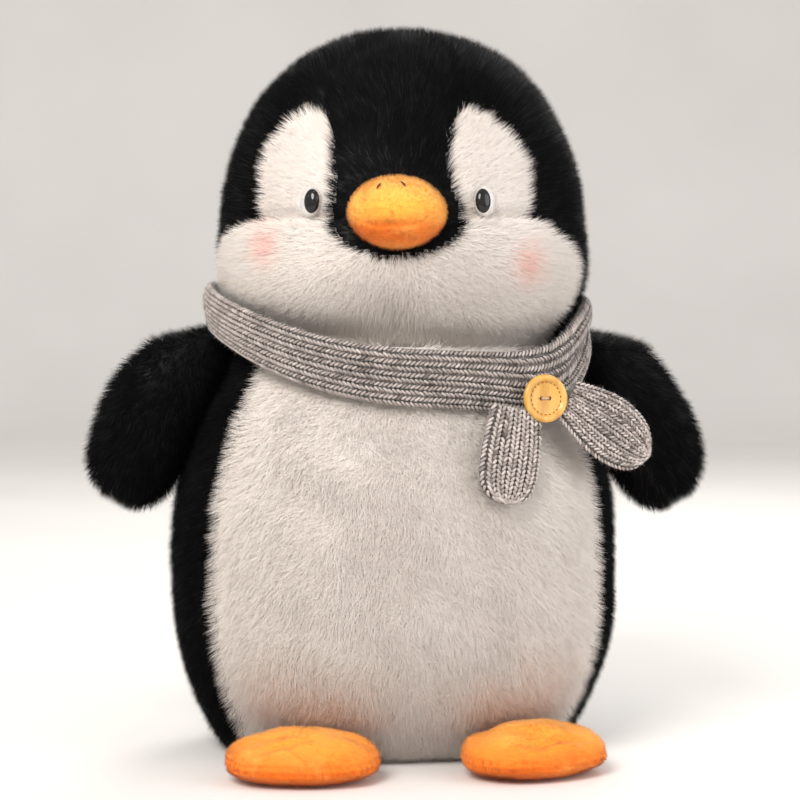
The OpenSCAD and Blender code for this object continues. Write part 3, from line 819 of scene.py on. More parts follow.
def blush_shade(roots, rng):
    """Slots for cheek hairs: white ones, and pinker ones in the two rouged spots."""
    x, _, z = roots.at.T
    tint = np.zeros(len(roots))
    for at_x, at_z in BLUSHES:
        tint += bell(np.hypot((x - at_x) / 0.85, (z - at_z) / 1.15), BLUSH_R)
    patch = 0.52 + 0.16 * ripple(roots.at, 38, "shade") + 0.22 * rng.normal(size=len(roots))
    white = (np.clip(patch, 0, 0.999) * len(WHITE_HAIR)).astype(int)
    level = 0.85 * tint + 0.2 * rng.normal(size=len(roots))
    pink = len(WHITE_HAIR) + np.clip(level * len(BLUSH_HAIR), 0, len(BLUSH_HAIR) - 1).astype(int)
    return np.where((tint > 0.06) & (level > 0.12), pink, white)


def clear_of_face(roots):
    """Leaves the eyes and the beak free of pile; it grows a little over the eyes' inner side."""
    x, y, z = roots.at.T
    from_beak = np.hypot(x / (BEAK_SIZE[0] - 1), (z - BEAK_Z) / (BEAK_SIZE[2] - 1))
    clear = (y >= FACE_FRONT_Y) | (from_beak >= 1)
    for side in (1, -1):
        inner = side * x < EYE_X - 1.5
        clear &= eye_gap(roots.at, side) > np.where(inner, EYE_R - 2.0, EYE_R - 0.1)
    return clear


def grow_head_fur(roots):
    wobble = FACE_WOBBLE * ripple(roots.at, 9, "face edge")
    zone = head_zone(roots.reach + wobble, roots.z + wobble, np.sign(roots.at[:, 0]))
    keep = clear_of_face(roots)
    roots, zone = roots.pick(keep), zone[keep]
    comb = head_comb(roots) + sway(roots, 0.3)
    seam = roots.z - CHEEK_Z
    apart = bell(seam, 7) * ((zone == 2) | (zone == 3)) * np.sign(seam)
    comb[:, 2] += 0.5 * apart
    jaw = smooth_step(-roots.z, -214, -202) * (roots.at[:, 1] < 30)
    comb[:, 2] -= 0.8 * jaw
    trim = face_trim(roots, zone) * (1 + 0.4 * jaw)
    left = roots.at[:, 0] >= 0
    comb = turned_z(comb, HEAD_YAW)
    for name, mask, node in (
        ("fur_hood_left", (zone == 0) & left, "hood_left"),
        ("fur_hood_right", (zone == 0) & ~left, "hood_right"),
        ("fur_hood_middle", zone == 1, "hood_gusset"),
        ("fur_eye_patch_left", (zone == 2) & left, "eye_patch_left"),
        ("fur_eye_patch_right", (zone == 2) & ~left, "eye_patch_right"),
        ("fur_cheek_left", (zone == 3) & left, "cheek_left"),
        ("fur_cheek_right", (zone == 3) & ~left, "cheek_right"),
    ):
        part = roots.pick(mask)
        if "hood" in name:
            look = dict(slot="black_fur", slots=BLACK_HAIR, **BLACK_COAT)
        else:
            shade = blush_shade(part, seeded(name + "shade"))
            look = dict(slot="white_fur", slots=WHITE_HAIR + BLUSH_HAIR, shade=shade, **WHITE_COAT)
        part.at = head_place(part.at)
        part.normal = turned_z(part.normal, HEAD_YAW)
        grow(name, part, comb[mask], "head", nodes=[node], lean=46, trim=trim[mask], **look)


# ---------------------------------------------------------------- wings

WING_MIDDLE = {1: 27.0, -1: 24.0}
WING_LONG = {1: 48.0, -1: 44.0}
WING_THICK = 15.0
WING_WIDE = 21.5
WING_LIFT = {1: 7.0, -1: 5.0}
WING_TUCK_X = 84
BAND_UNDER = {1: 201.0, -1: 203.0}


def wing_look(along, around, side):
    """The skin of a wing in line with its hinge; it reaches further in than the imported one."""
    taper = 1 + 0.08 * sind(along)
    thin = np.maximum(0, cosd(along)) ** 0.62
    bend = 3.0 * cosd(along) - 5.0 * np.maximum(0, -sind(along)) ** 2
    return np.stack([
        WING_MIDDLE[side] + WING_LONG[side] * sind(along) + 0 * around,
        -WING_THICK * taper * thin * cosd(around),
        WING_LIFT[side] + bend + WING_WIDE * taper * thin * sind(around),
    ], axis=-1)


def wing_settle(points, side):
    """Hangs the skin from its shoulder and draws its top in under the scarf."""
    local = turned_y(points, 90 - SPREAD[side]) + SHOULDER
    under = BAND_UNDER[side]
    tuck = smooth_step(local[..., 2], under - 9, under + 1)
    inner = np.minimum(local[..., 0], WING_TUCK_X)
    local[..., 0] = mix(local[..., 0], inner, tuck)
    return mirrored(local, side)


def faces_inward(grid, row, col):
    """Whether the normals of a wrapped grid point inward, judged at one of its points."""
    out = grid_normals(grid, True)[row, col]
    return out @ (grid[row, col] - grid[row].mean(0)) < 0


def wing_fasten():
    """Gives a function that bakes a piece's placement into its mesh."""

    def fasten(piece):
        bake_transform(piece)

    return fasten


def build_wing(side, label):
    body = f"wing_{label}"
    along = np.linspace(-86, 86, 50)
    around = np.linspace(0, 360, 72, endpoint=False)
    alongs, arounds = np.meshgrid(along, around, indexing="ij")
    grid = wing_look(alongs, arounds, side)
    out = grid_normals(grid, True)
    seam = bell(np.abs(cosd(arounds)) * 12, 2.2)
    grid = grid + out * (0.5 * ripple(grid, 45, body) - 0.8 * seam)[..., None]
    placed = wing_settle(grid, side)
    if faces_inward(placed, 25, 10):
        placed, arounds = placed[:, ::-1], arounds[:, ::-1]
    points, faces = closed_grid(placed)
    skin = add_mesh(f"{body}_skin", points, faces, [BLACK_BACKING])
    fasten = wing_fasten()
    fasten(skin)
    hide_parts(f"{body}_filling")
    roots = scatter(placed, DENSITY["wing"], body, around=arounds)
    roots = roots.pick(roots.at[:, 2] < BAND_UNDER[side] + 1)
    tip_way = wing_place(np.array([[1.0, 0, 0]]), side) - wing_place(np.zeros((1, 3)), side)
    comb = tip_way + np.array([0, 0, -0.25]) + sway(roots, 0.35)
    front = cosd(roots.around) > 0
    for mask, half in ((front, "front"), (~front, "back")):
        grow(f"fur_{body}_{half}", roots.pick(mask), comb[mask], fasten, "black_fur",
             [f"{body}_{half}"], BLACK_HAIR, lean=48, **BLACK_COAT)


# ---------------------------------------------------------------- stage

# the lights and the camera are placed in metres
LIT_POINT = Vector((0, 0, 0.18))


def add_light(name, at, size, power, colour):
    data = bpy.data.lights.new(name, "AREA")
    data.shape = "DISK"
    data.size = size
    data.energy = power
    data.color = colour
    lamp = link(bpy.data.objects.new(name, data))
    lamp.location = at
    lamp.rotation_euler = (LIT_POINT - Vector(at)).to_track_quat("-Z", "Y").to_euler()


def build_stage():
    n = Nodes(material("pale_floor", (0.74, 0.72, 0.7), 0.7, specular=0.2))
    n.colour(n.ramp(n.noise(3, 2), [(0.3, (0.72, 0.70, 0.68)), (0.7, (0.76, 0.74, 0.72))]))
    half, far, bend, tall = 6000, 2400, 900, 5000
    line = [(-half, 0), (far, 0)]
    line += [(far + bend * sind(a), bend * (1 - cosd(a))) for a in np.linspace(5, 90, 18)]
    line += [(far + bend, tall)]
    points = np.array([[x, y, z] for y, z in line for x in (-half, half)], float)
    floor = add_mesh("floor", points, grid_faces(len(line), 2), [n.mat])
    world = bpy.data.worlds.new("studio")
    world.use_nodes = True
    world.node_tree.nodes["Background"].inputs["Color"].default_value = (1.0, 0.98, 0.96, 1)
    world.node_tree.nodes["Background"].inputs["Strength"].default_value = 0.85
    bpy.context.scene.world = world
    add_light("key", (-0.75, -1.25, 1.25), 0.9, 30, (1.0, 0.97, 0.93))
    add_light("fill", (1.3, -0.9, 0.7), 1.2, 9, (0.97, 0.98, 1.0))
    add_light("back", (0.5, 1.1, 1.2), 0.8, 12, (1.0, 0.98, 0.95))
    bpy.context.scene.view_settings.view_transform = "Standard"


CAMERA_AZIMUTH = -8
CAMERA_DISTANCE = 1.1
CAMERA_HEIGHT = 0.215
CAMERA_PITCH = -2.45
CAMERA_AIM_RIGHT = 0.16
CAMERA_LENS = 101.7


def build_camera():
    data = bpy.data.cameras.new("camera")
    data.sensor_width = 36
    data.lens = CAMERA_LENS
    camera = link(bpy.data.objects.new("camera", data))
    a = math.radians(CAMERA_AZIMUTH)
    camera.location = (math.sin(a) * CAMERA_DISTANCE, -math.cos(a) * CAMERA_DISTANCE, CAMERA_HEIGHT)
    camera.rotation_euler = (
        math.radians(90 + CAMERA_PITCH), 0, math.radians(CAMERA_AZIMUTH - CAMERA_AIM_RIGHT)
    )
    bpy.context.scene.camera = camera


# ---------------------------------------------------------------- feet and beak


def points_of(obj):
    found = np.zeros(len(obj.data.vertices) * 3, np.float32)
    obj.data.vertices.foreach_get("co", found)
    return found.reshape(-1, 3).astype(float) / MM


def set_points(obj, points):
    obj.data.vertices.foreach_set("co", (points * MM).astype(np.float32).ravel())
    obj.data.update()


def pillow(half_w, half_l, top, low, count):
    """Two square sheets sewn at their rims and drawn to a rounded outline; no pole."""
    steps = sind(np.linspace(-90, 90, count))
    v, u = np.meshgrid(steps, steps, indexing="ij")
    x, y = u * np.sqrt(1 - 0.4 * v**2), v * np.sqrt(1 - 0.4 * u**2)
    inner = np.maximum(0, (1 - u**2) * (1 - v**2))
    upper = np.stack([half_w * x, half_l * y, top * inner**0.5], -1)
    lower = np.stack([half_w * x, half_l * y, -low * inner**0.42], -1)
    index = np.arange(count * count).reshape(count, count)
    under = index.copy()
    under[1:-1, 1:-1] = count * count + np.arange((count - 2) ** 2).reshape(count - 2, -1)
    quads = grid_faces(count, count)
    turned = under.ravel()[quads][:, ::-1]
    points = np.concatenate([upper.reshape(-1, 3), lower[1:-1, 1:-1].reshape(-1, 3)])
    return points, np.concatenate([quads, turned])


def bake_modifiers(obj):
    """Replaces a piece's mesh with what its modifiers make of it."""
    view = bpy.context.evaluated_depsgraph_get()
    new = bpy.data.meshes.new_from_object(obj.evaluated_get(view))
    obj.modifiers.clear()
    obj.data = new


def subdivide(obj):
    obj.modifiers.new("smooth", "SUBSURF").levels = 1
    bake_modifiers(obj)


FOOT_TOP_H = 14.5
FOOT_LOW_H = 9.0
FOOT_W = 33.5
FOOT_L = 26.0
# x, y, direction, length, width and depth of each soft fold
FOOT_FOLDS = {
    "foot_left": ((6, -17, 8, 15, 2.6, 3.2), (-17, -15, -20, 8, 2.4, 2.0)),
    "foot_right": ((8, -16, -12, 11, 2.4, 3.0), (2, -20, 30, 8, 2.2, 2.0), (14, -6, 20, 9, 4, 1.6)),
}


def build_foot(side, label):
    body = f"foot_{label}"
    points, faces = pillow(FOOT_W, FOOT_L, FOOT_TOP_H, FOOT_LOW_H, 61)
    points = crease_foot(points, body)
    points[:, 2] = points[:, 2] + FOOT_LOW_H
    points[:, 2] = np.maximum(points[:, 2], FLOOR_CLEAR + 0.1 * np.maximum(0, points[:, 2]))
    foot = add_mesh(f"{body}_velvet", foot_place(points, side), faces, [ORANGE_VELVET_PAINTED_SHADING])
    outward(foot)
    subdivide(foot)
    dress(foot, body, "yellow_velvet", f"{body}_top", f"{body}_sole", f"{body}_filling")
    nap(foot, f"{body}_nap", body, 2.6, foot_painted_shading)


def crease_foot(points, name):
    """Draws the corners out, gathers the seam and sinks soft folds above it."""
    x, y, z = points.T
    share = np.hypot(x / FOOT_W, y / FOOT_L)
    turn = np.degrees(np.arctan2(y / FOOT_L, x / FOOT_W))
    rim = np.exp(-np.abs(z) / 2.2)
    corner = np.abs(cosd(turn)) ** 6 * smooth_step(share, 0.5, 1)
    gather = np.sin(np.radians(turn * 43) + 2.4 * ripple(points, 17, name + "gather"))
    tight = 0.5 + 0.8 * corner
    z = z + rim * (0.4 * tight * gather + 1.5 * ripple(points, 21, name + "seam"))
    upper = z > 0.2
    fold = np.zeros(len(x))
    for at_x, at_y, lean, long, wide, deep in FOOT_FOLDS[name]:
        along = cosd(lean) * (x - at_x) + sind(lean) * (y - at_y)
        over = cosd(lean) * (y - at_y) - sind(lean) * (x - at_x)
        fold += deep * bell(along, long) * bell(over, wide)
    soft = 1.1 * ripple(points, 22, name + "soft") * smooth_step(z, 0, 6)
    z = z + np.where(upper, soft - fold, 0)
    seam = np.exp(-(((np.abs(z) - 1.6) / 1.1) ** 2))
    inward = 1 - 0.025 * rim * tight * (1 + gather) - 0.02 * seam
    return np.stack([x * inward * (1 + 0.06 * corner), y * inward, z], -1)


def mesh_roots(obj, density, name):
    """Roots spread evenly by area over a mesh."""
    me = obj.data
    me.calc_loop_triangles()
    tri = np.zeros(len(me.loop_triangles) * 3, np.int32)
    me.loop_triangles.foreach_get("vertices", tri)
    tri = tri.reshape(-1, 3)
    spots = points_of(obj)
    normals = np.zeros(len(me.vertices) * 3, np.float32)
    me.vertex_normals.foreach_get("vector", normals)
    normals = normals.reshape(-1, 3).astype(float)
    rng = seeded(name)
    a, b, c = (spots[tri[:, i]] for i in range(3))
    area = 0.5 * np.linalg.norm(np.cross(b - a, c - a), axis=-1)
    count = int(area.sum() * density)
    chosen = tri[rng.choice(len(tri), size=count, p=area / area.sum())]
    u, v = rng.random(count), rng.random(count)
    over = u + v > 1
    u, v = np.where(over, 1 - u, u), np.where(over, 1 - v, v)
    share = np.stack([1 - u - v, u, v], -1)[..., None]
    normal = unit((normals[chosen] * share).sum(1))
    return Roots(at=(spots[chosen] * share).sum(1), normal=normal)


def nap(obj, name, body, density, tone):
    """Fine short pile on a velvet piece; tone gives its shade from 0 to 1, which on the feet and the
    beak is painted light and shade.
    """
    roots = mesh_roots(obj, density, name)
    roots.at = roots.at + 0.45 * roots.normal
    comb = np.array([0.25, -0.5, -0.6]) + sway(roots, 1.2)
    patch = tone(roots) + 0.14 * ripple(roots.at, 24, name)
    patch = patch + 0.1 * seeded(name + "tone").normal(size=len(roots))
    shade = (np.clip(patch, 0, 0.999) * len(VELVET_HAIR)).astype(int)
    grow(name, roots, comb, body, "yellow_velvet", [], VELVET_HAIR, length=1.4, lean=52,
         spread=0.3, clump=1.6, pull=0.3, width=0.09, shade=shade)


def foot_painted_shading(roots):
    """Painted shading: paler towards the top of the foot and on hairs that face up; paler also in
    brushed patches.
    """
    bright = 0.16 * ripple(roots.at, 34, "foot light")
    return 0.032 * roots.at[:, 2] + 0.12 * roots.normal[:, 2] + bright


def beak_painted_shading(roots):
    """Painted shading: pale above the seam of the beak and paler towards its top, dark below the
    seam and pale again at its lower rim.
    """
    z = roots.at[:, 2]
    above = 0.6 * smooth_step(z, 249, 253) + 0.25 * smooth_step(z, 255, 270)
    return 0.08 + above + 0.3 * smooth_step(-z, -244, -240)


# Colour of the feet by height: dark near the floor and paler towards the top, painted shade below
# and painted light above.
ORANGE_VELVET_PAINTED_SHADING = velvet("orange_velvet", [
    (1, (0.7, 0.13, 0.01)), (8, (0.8, 0.165, 0.012)), (14, (0.88, 0.24, 0.025)),
    (22, (0.95, 0.33, 0.04))], (0.98, 0.42, 0.09))
# Colour of the beak by height: painted light above the seam and painted shade below it, paler again
# at the lower rim.
BEAK_VELVET_PAINTED_SHADING = velvet("beak_velvet_painted_shading", [
    (240, (0.9, 0.3, 0.05)), (243.5, (0.8, 0.17, 0.018)), (249, (0.82, 0.18, 0.02)),
    (252, (0.95, 0.35, 0.05)), (258, (0.97, 0.42, 0.055)), (270, (0.97, 0.47, 0.11))],
    (0.98, 0.5, 0.12))


BEAK_SEAM = -22


def beak_point(across, over, inset):
    """A point of the beak before the head is turned; its seam lies below the middle."""
    w, reach, h = (size - inset for size in BEAK_SIZE)
    groove = bell(over - BEAK_SEAM, 5.5) * np.maximum(0, cosd(across)) ** 0.7
    upper = smooth_step(over, BEAK_SEAM + 5, 45) * np.maximum(0, cosd(across)) ** 1.2
    reach = reach - 1.8 * groove + 0.6 * bell(over - 8, 22) * cosd(across)
    tall = h - 0.3 * upper
    return np.stack([
        w * sind(across) + 0 * over,
        -BEAK_PLANE - reach * cosd(across) * cosd(over) + 1.5,
        BEAK_Z + tall * cosd(across) * sind(over),
    ], -1)


def build_beak():
    over = np.linspace(-88, 88, 72)
    across = np.linspace(-89, 89, 90)
    overs, acrosses = np.meshgrid(over, across, indexing="ij")
    front = beak_point(acrosses, overs, 0.6)
    out = grid_normals(front, False)
    inside_out = out[36, 45, 1] > 0
    out = -out if inside_out else out
    front = front + out * (0.25 * ripple(front, 14, "beak"))[..., None]
    back = front * [1, 0, 1] + [0, -BEAK_PLANE + 2.5, 0]
    grid = np.concatenate([front, back[::-1]])
    faces = grid_faces(*grid.shape[:2])
    faces = faces[:, ::-1] if inside_out else faces
    beak = add_mesh("beak_velvet_painted_shading", head_place(grid.reshape(-1, 3)), faces, [BEAK_VELVET_PAINTED_SHADING])
    dress(beak, "head", "yellow_velvet", "beak_upper", "beak_lower", "beak_filling")
    nap(beak, "beak_nap", "head", 3.0, beak_painted_shading)


# ---------------------------------------------------------------- eyes and nostrils


def speckled(name, colour, other, scale, specular, coat):
    """A hard glossy surface with a fine speckle."""
    n = Nodes(material(name, colour, 0.1, specular=specular, coat=coat))
    n.colour(n.ramp(n.noise(scale, 3), [(0.35, colour), (0.65, other)]))
    n.rough(n.span(n.noise(scale * 2, 2), 0.3, 0.7, 0.05, 0.14))
    return n.mat


EYE_WHITE = speckled("eye_white", (0.47, 0.45, 0.43), (0.55, 0.53, 0.51), 500, 0.4, 0.3)
EYE_BLACK = speckled("eye_black", (0.003, 0.003, 0.003), (0.007, 0.007, 0.006), 700, 0.3, 0.25)
DARK_THREAD = material("dark_thread", (0.09, 0.035, 0.012), 0.6, sheen=0.2)
PUPIL_R = 4.6


def lathe(profile, around):
    """Points and faces turned about Z from radius and height pairs, outside facing out."""
    profile = np.asarray(profile, float)
    turn = np.linspace(0, 360, around, endpoint=False)
    r, z = profile[:, 0:1], profile[:, 1:2]
    grid = np.stack([r * cosd(turn), r * sind(turn), z + 0 * turn], -1)
    return closed_grid(grid)


def eye_place(points, side):
    """Takes a part that looks along +Z to the eye on one side of the head."""
    out = points - [0, 0, EYE_SINK]
    out = turned_z(turned_x(out, 90 - EYE_TIP), EYE_TURN) + EYE_SEAT
    return head_place(mirrored(out, side))


def build_eye(side, label):
    bow = np.linspace(0, 89, 16)[1:]
    white = [(1.6, -4), (EYE_R - 0.4, -1.0), (EYE_R - 0.2, 0.2), (EYE_R - 0.3, 0.9)]
    white += [((EYE_R - 0.3) * cosd(a) ** 0.8, 0.9 + 2.5 * sind(a)) for a in bow]
    black = [(3.0, 0.2), (PUPIL_R - 0.1, 0.9), (PUPIL_R, 1.5)]
    black += [(PUPIL_R * cosd(a) ** 0.85, 1.6 + 2.4 * sind(a)) for a in bow]
    for name, profile, mat, oval, at, slot in (
        ("eye", white, EYE_WHITE, (0.86, EYE_TALL, 1), (0, 0, 0), "eye_white"),
        ("pupil", black, EYE_BLACK, (0.82, 1.25, 1), (-1.3, 0, 0.15), "eye_black"),
    ):
        points, faces = lathe(profile, 64)
        points = eye_place(points * oval + at, side)
        if side < 0:
            faces = faces[:, ::-1]
        piece = add_mesh(f"{name}_{label}_shell", points, faces, [mat])
        dress(piece, "head", slot, f"{name}_{label}")


def build_nostrils():
    """Two doubled stitches near the top of the beak."""

    def place(s, t, lift):
        return head_place(beak_point(s, t, -lift - 0.3))

    starts = np.array([(-21.5, 38.0), (5.5, 51.0), (-21.0, 39.0), (6.0, 50.0)])
    ends = np.array([(-17.0, 50.0), (11.0, 40.0), (-16.5, 49.0), (11.5, 41.0)])
    piece = strands("nostril_thread", starts, ends, np.full(4, 0.25), place, 0.42,
                    np.zeros(4, int), [DARK_THREAD])
    dress(piece, "head", "brown_thread", "nostril_stitches")


# ---------------------------------------------------------------- knitting

STITCH = 2.05
KNIT_RIB = 0.9


def strands(name, starts, ends, lifts, place, radius, shade, slots):
    """Bowed strands of yarn; place(s, t, lift) gives the points of the cloth they lie on."""
    share = np.array([0, 0.16, 0.5, 0.84, 1])
    bow = np.array([-0.3, 0.7, 1, 0.7, -0.3])
    s = mix(starts[:, 0:1], ends[:, 0:1], share)
    t = mix(starts[:, 1:2], ends[:, 1:2], share)
    lift = lifts[:, None] * bow
    line = place(s, t, lift)
    out = unit(place(s, t, lift + 0.5) - line)
    way = unit(np.gradient(line, axis=1))
    side = unit(np.cross(way, out))
    corners = 5
    rings = []
    for turn in np.arange(corners) * 360 / corners:
        rings.append(line[:, 1:4] + radius * (side * cosd(turn) + out * sind(turn))[:, 1:4]
                     * np.array([0.86, 1.0, 0.86])[:, None])
    rings = np.stack(rings, axis=2).reshape(len(s), -1, 3)
    points = np.concatenate([line[:, :1], rings, line[:, 4:]], axis=1)
    faces = []
    for k in range(corners):
        nxt = (k + 1) % corners
        faces.append((0, 1 + k, 1 + nxt))
        last = 1 + 2 * corners
        faces.append((1 + 3 * corners, last + nxt, last + k))
        for ring in (0, 1):
            low, high = 1 + ring * corners, 1 + (ring + 1) * corners
            faces.append((low + k, high + k, high + nxt))
            faces.append((low + k, high + nxt, low + nxt))
    faces = np.array(faces)
    per = points.shape[1]
    every = (faces[None] + per * np.arange(len(s))[:, None, None]).reshape(-1, 3)
    if handed(line, points) < 0:
        every = every[:, ::-1]
    return add_mesh(name, points.reshape(-1, 3), every, slots, np.repeat(shade, len(faces)))


def handed(line, points):
    """Sign of the winding of a first strand's faces, from its middle ring."""
    a, b, c = points[0, 1], points[0, 6], points[0, 7]
    normal = np.cross(b - a, c - a)
    return normal @ (a - line[0, 1])


def v_stitches(rows, columns, rng):
    """Places of the two legs of each stitch, on a cloth 0 to 1 along and -1 to 1 across."""
    s = (np.arange(rows) + 0.5) / rows
    t = -1 + (np.arange(columns) + 0.5) * 2 / columns
    s, t = (v.ravel() for v in np.meshgrid(s, t, indexing="ij"))
    pitch, half = 1 / rows, 1 / columns
    starts, ends = [], []
    for side in (-1, 1):
        shake = rng.normal(size=(2, len(s))) * 0.06
        starts.append(np.stack([s - 0.62 * pitch, t + side * half * (0.14 + shake[0])], -1))
        ends.append(np.stack([s + 0.72 * pitch, t + side * half * (0.86 + shake[1])], -1))
    return np.concatenate(starts), np.concatenate(ends)


def purl_rows(rows, columns, rng):
    """Middles, starts and ends of the short strands in the valleys between the columns."""
    s = np.linspace(0, 1, rows * 2)
    t = -1 + np.arange(1, columns) * 2 / columns
    s, t = (v.ravel() for v in np.meshgrid(s, t, indexing="ij"))
    reach = 0.5 / columns
    turn = rng.normal(size=len(s)) * 0.1 / columns
    starts = np.stack([s, t - reach + turn], -1)
    ends = np.stack([s + 0.2 / rows, t + reach], -1)
    return s, t, starts, ends


def yarn_shades(places, rng, speck, tone):
    """Heathered yarn: slow changes along it and a mix from stitch to stitch."""
    value = tone + 0.1 * ripple(places, 16, "yarn") + speck * rng.normal(size=len(places))
    return (np.clip(value, 0, 0.999) * len(YARN)).astype(int)


def knit_cloth(name, loop, place, rows, columns, body, node, wrap=False,
               radius=0.66, speck=0.2, tone=0.68):
    """A knitted sheet: the cloth itself, its stitches and the fuzz of its yarn."""
    rng = seeded(name)
    along = np.linspace(0, 1, rows * 2 + (0 if wrap else 1), endpoint=not wrap)
    grid = loop(along)
    if wrap:
        points, faces = grid.reshape(-1, 3), grid_faces(*grid.shape[:2], wrap=True, ring=True)
    else:
        points, faces = closed_grid(grid)
    # the cloth under the stitches wears a painted shade for the gaps between them
    cloth = add_mesh(f"{name}_cloth", points, faces, [KNIT_PAINTED_SHADE])
    outward(cloth)
    starts, ends = v_stitches(rows, columns, rng)
    middle = (starts + ends) / 2
    spots = place(middle[:, 0], middle[:, 1], 0 * middle[:, 0])
    shade = yarn_shades(spots, rng, speck, tone)
    stitches = strands(f"{name}_stitches", starts, ends,
                       rng.uniform(0.35, 0.6, len(starts)), place, radius, shade, YARN)
    s, t, starts, ends = purl_rows(rows, columns, rng)
    spots = place(s, t, 0 * s)
    # The purls sit in the valleys between the columns; their yarn is painted darker, a painted shade
    # in the recesses.
    purls = strands(f"{name}_purls", starts, ends, np.full(len(s), -0.15), place, radius * 0.75,
                    yarn_shades(spots, rng, speck, tone - 0.36), YARN)
    roots = mesh_roots(cloth, 1.3, name + "fuzz")
    roots.at = roots.at + 0.7 * roots.normal
    fuzz = grow(f"{name}_fuzz", roots, sway(roots, 3.0), body, "grey_knit", [], YARN[2:],
                length=1.9, lean=40, spread=0.6, clump=2.0, pull=0.1, width=0.055)
    for piece in (cloth, stitches, purls):
        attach(piece, body)
    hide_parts(node)


def outward(obj):
    """Turns a closed mesh's faces outwards."""
    mesh = bmesh.new()
    mesh.from_mesh(obj.data)
    bmesh.ops.recalc_face_normals(mesh, faces=mesh.faces)
    mesh.to_mesh(obj.data)
    mesh.free()
    obj.data.shade_smooth()


def painted_knit_shade():
    """Painted shade: the cloth under the stitches is coloured dark, so that the gaps between them
    look shaded.
    """
    n = Nodes(material("painted_knit_shade", (0.08, 0.075, 0.07), 0.9, sheen=0.3, specular=0.1))
    n.colour(n.ramp(n.noise(700, 4), [(0.35, (0.03, 0.027, 0.025)), (0.65, (0.15, 0.14, 0.135))]))
    n.bump(n.noise(1200, 2), 0.6, 0.0005)
    return n.mat


KNIT_PAINTED_SHADE = painted_knit_shade()


# ---------------------------------------------------------------- scarf

BAND_HALF_W = 89
BAND_FRONT = 80.5
BAND_BACK = 83
BAND_SHIFT = 2
BAND_W = 21
BAND_T = 4.5
BUTTON_ANGLE = 43
BAND_COLUMNS = 5


def band_z(angle):
    low = -12.5 * cosd(angle) - 8 * cosd(2 * angle) - 3 * sind(angle)
    return NECK_Z + 6 + low - 13 * bell(angle - BUTTON_ANGLE, 24)


def band_edge(angle, t):
    """Height over the middle of the band; its upper layer climbs beside the button."""
    edge = BAND_W / 2 + 2.8 * np.maximum(0, cosd(angle)) ** 1.5
    climb = 10 * bell(angle - 54, 29)
    return edge * t + climb * np.maximum(0, t)


def band_layer(angle):
    """The band stands off a little where its ends cross under the button."""
    return 1.6 * bell(angle - BUTTON_ANGLE, 20)


def band_surface(angle, t, lift):
    """A point of the band's outer face; t runs from its lower to its upper edge."""
    layer = band_layer(angle)
    rib = KNIT_RIB * (np.abs(cosd(90 * (t + 1) * BAND_COLUMNS + 90)) ** 0.8 - 0.6)
    fold = 1.1 * np.sin(3.4 * t + 0.05 * angle + 1.3 * np.sin(angle * 0.021)) * (1 - t**4)
    split = smooth_step(angle, 47, 58) * smooth_step(-angle, -104, -80)
    gap = -2.6 * split * bell(t - 0.18 + 0.004 * (angle - 60), 0.13)
    roll = 2.6 * np.abs(t) ** 6
    out = layer + BAND_T - 0.9 + rib + 0.6 * fold + gap - roll + lift
    x, y = plan(angle, BAND_HALF_W + out, BAND_FRONT + out, BAND_BACK + out)
    return np.stack([x + BAND_SHIFT, y, band_z(angle) + band_edge(angle, t)], -1)


def build_band():
    turn = np.linspace(-180, 180, 1441)
    line = band_surface(turn, 0 * turn, 0 * turn)
    gone = np.concatenate([[0], np.cumsum(np.linalg.norm(np.diff(line, axis=0), axis=-1))])
    length = gone[-1]
    rows = round(length / STITCH)

    def angle_at(s):
        return np.interp(np.mod(s, 1) * length, gone, turn)

    def place(s, t, lift):
        return band_surface(angle_at(s), t + 0 * s, lift + 0 * s)

    def loop(along):
        t = np.linspace(-1, 1, 41)
        s = along[:, None]
        front = place(s, t[None] * 0.97, np.full((1, 41), -0.35))
        angle = angle_at(s)
        layer = band_layer(angle) + 0.2
        back_t = np.linspace(0.93, -0.93, 15)[None]
        x, y = plan(angle + 0 * back_t, BAND_HALF_W + layer, BAND_FRONT + layer, BAND_BACK + layer)
        back = np.stack([x + BAND_SHIFT, y, band_z(angle) + band_edge(angle, back_t)], -1)
        return np.concatenate([front, back], axis=1)

    # tone 0.55 paints the band's yarn darker than the tails', which keep 0.68: a painted shade on
    # the same yarn.
    knit_cloth("scarf_band", loop, place, rows, BAND_COLUMNS, "torso", "scarf_loop",
               wrap=True, speck=0.11,
               tone=0.55)


# share of a tail's half width where its rolled edge begins
ROLL_FROM = 0.8


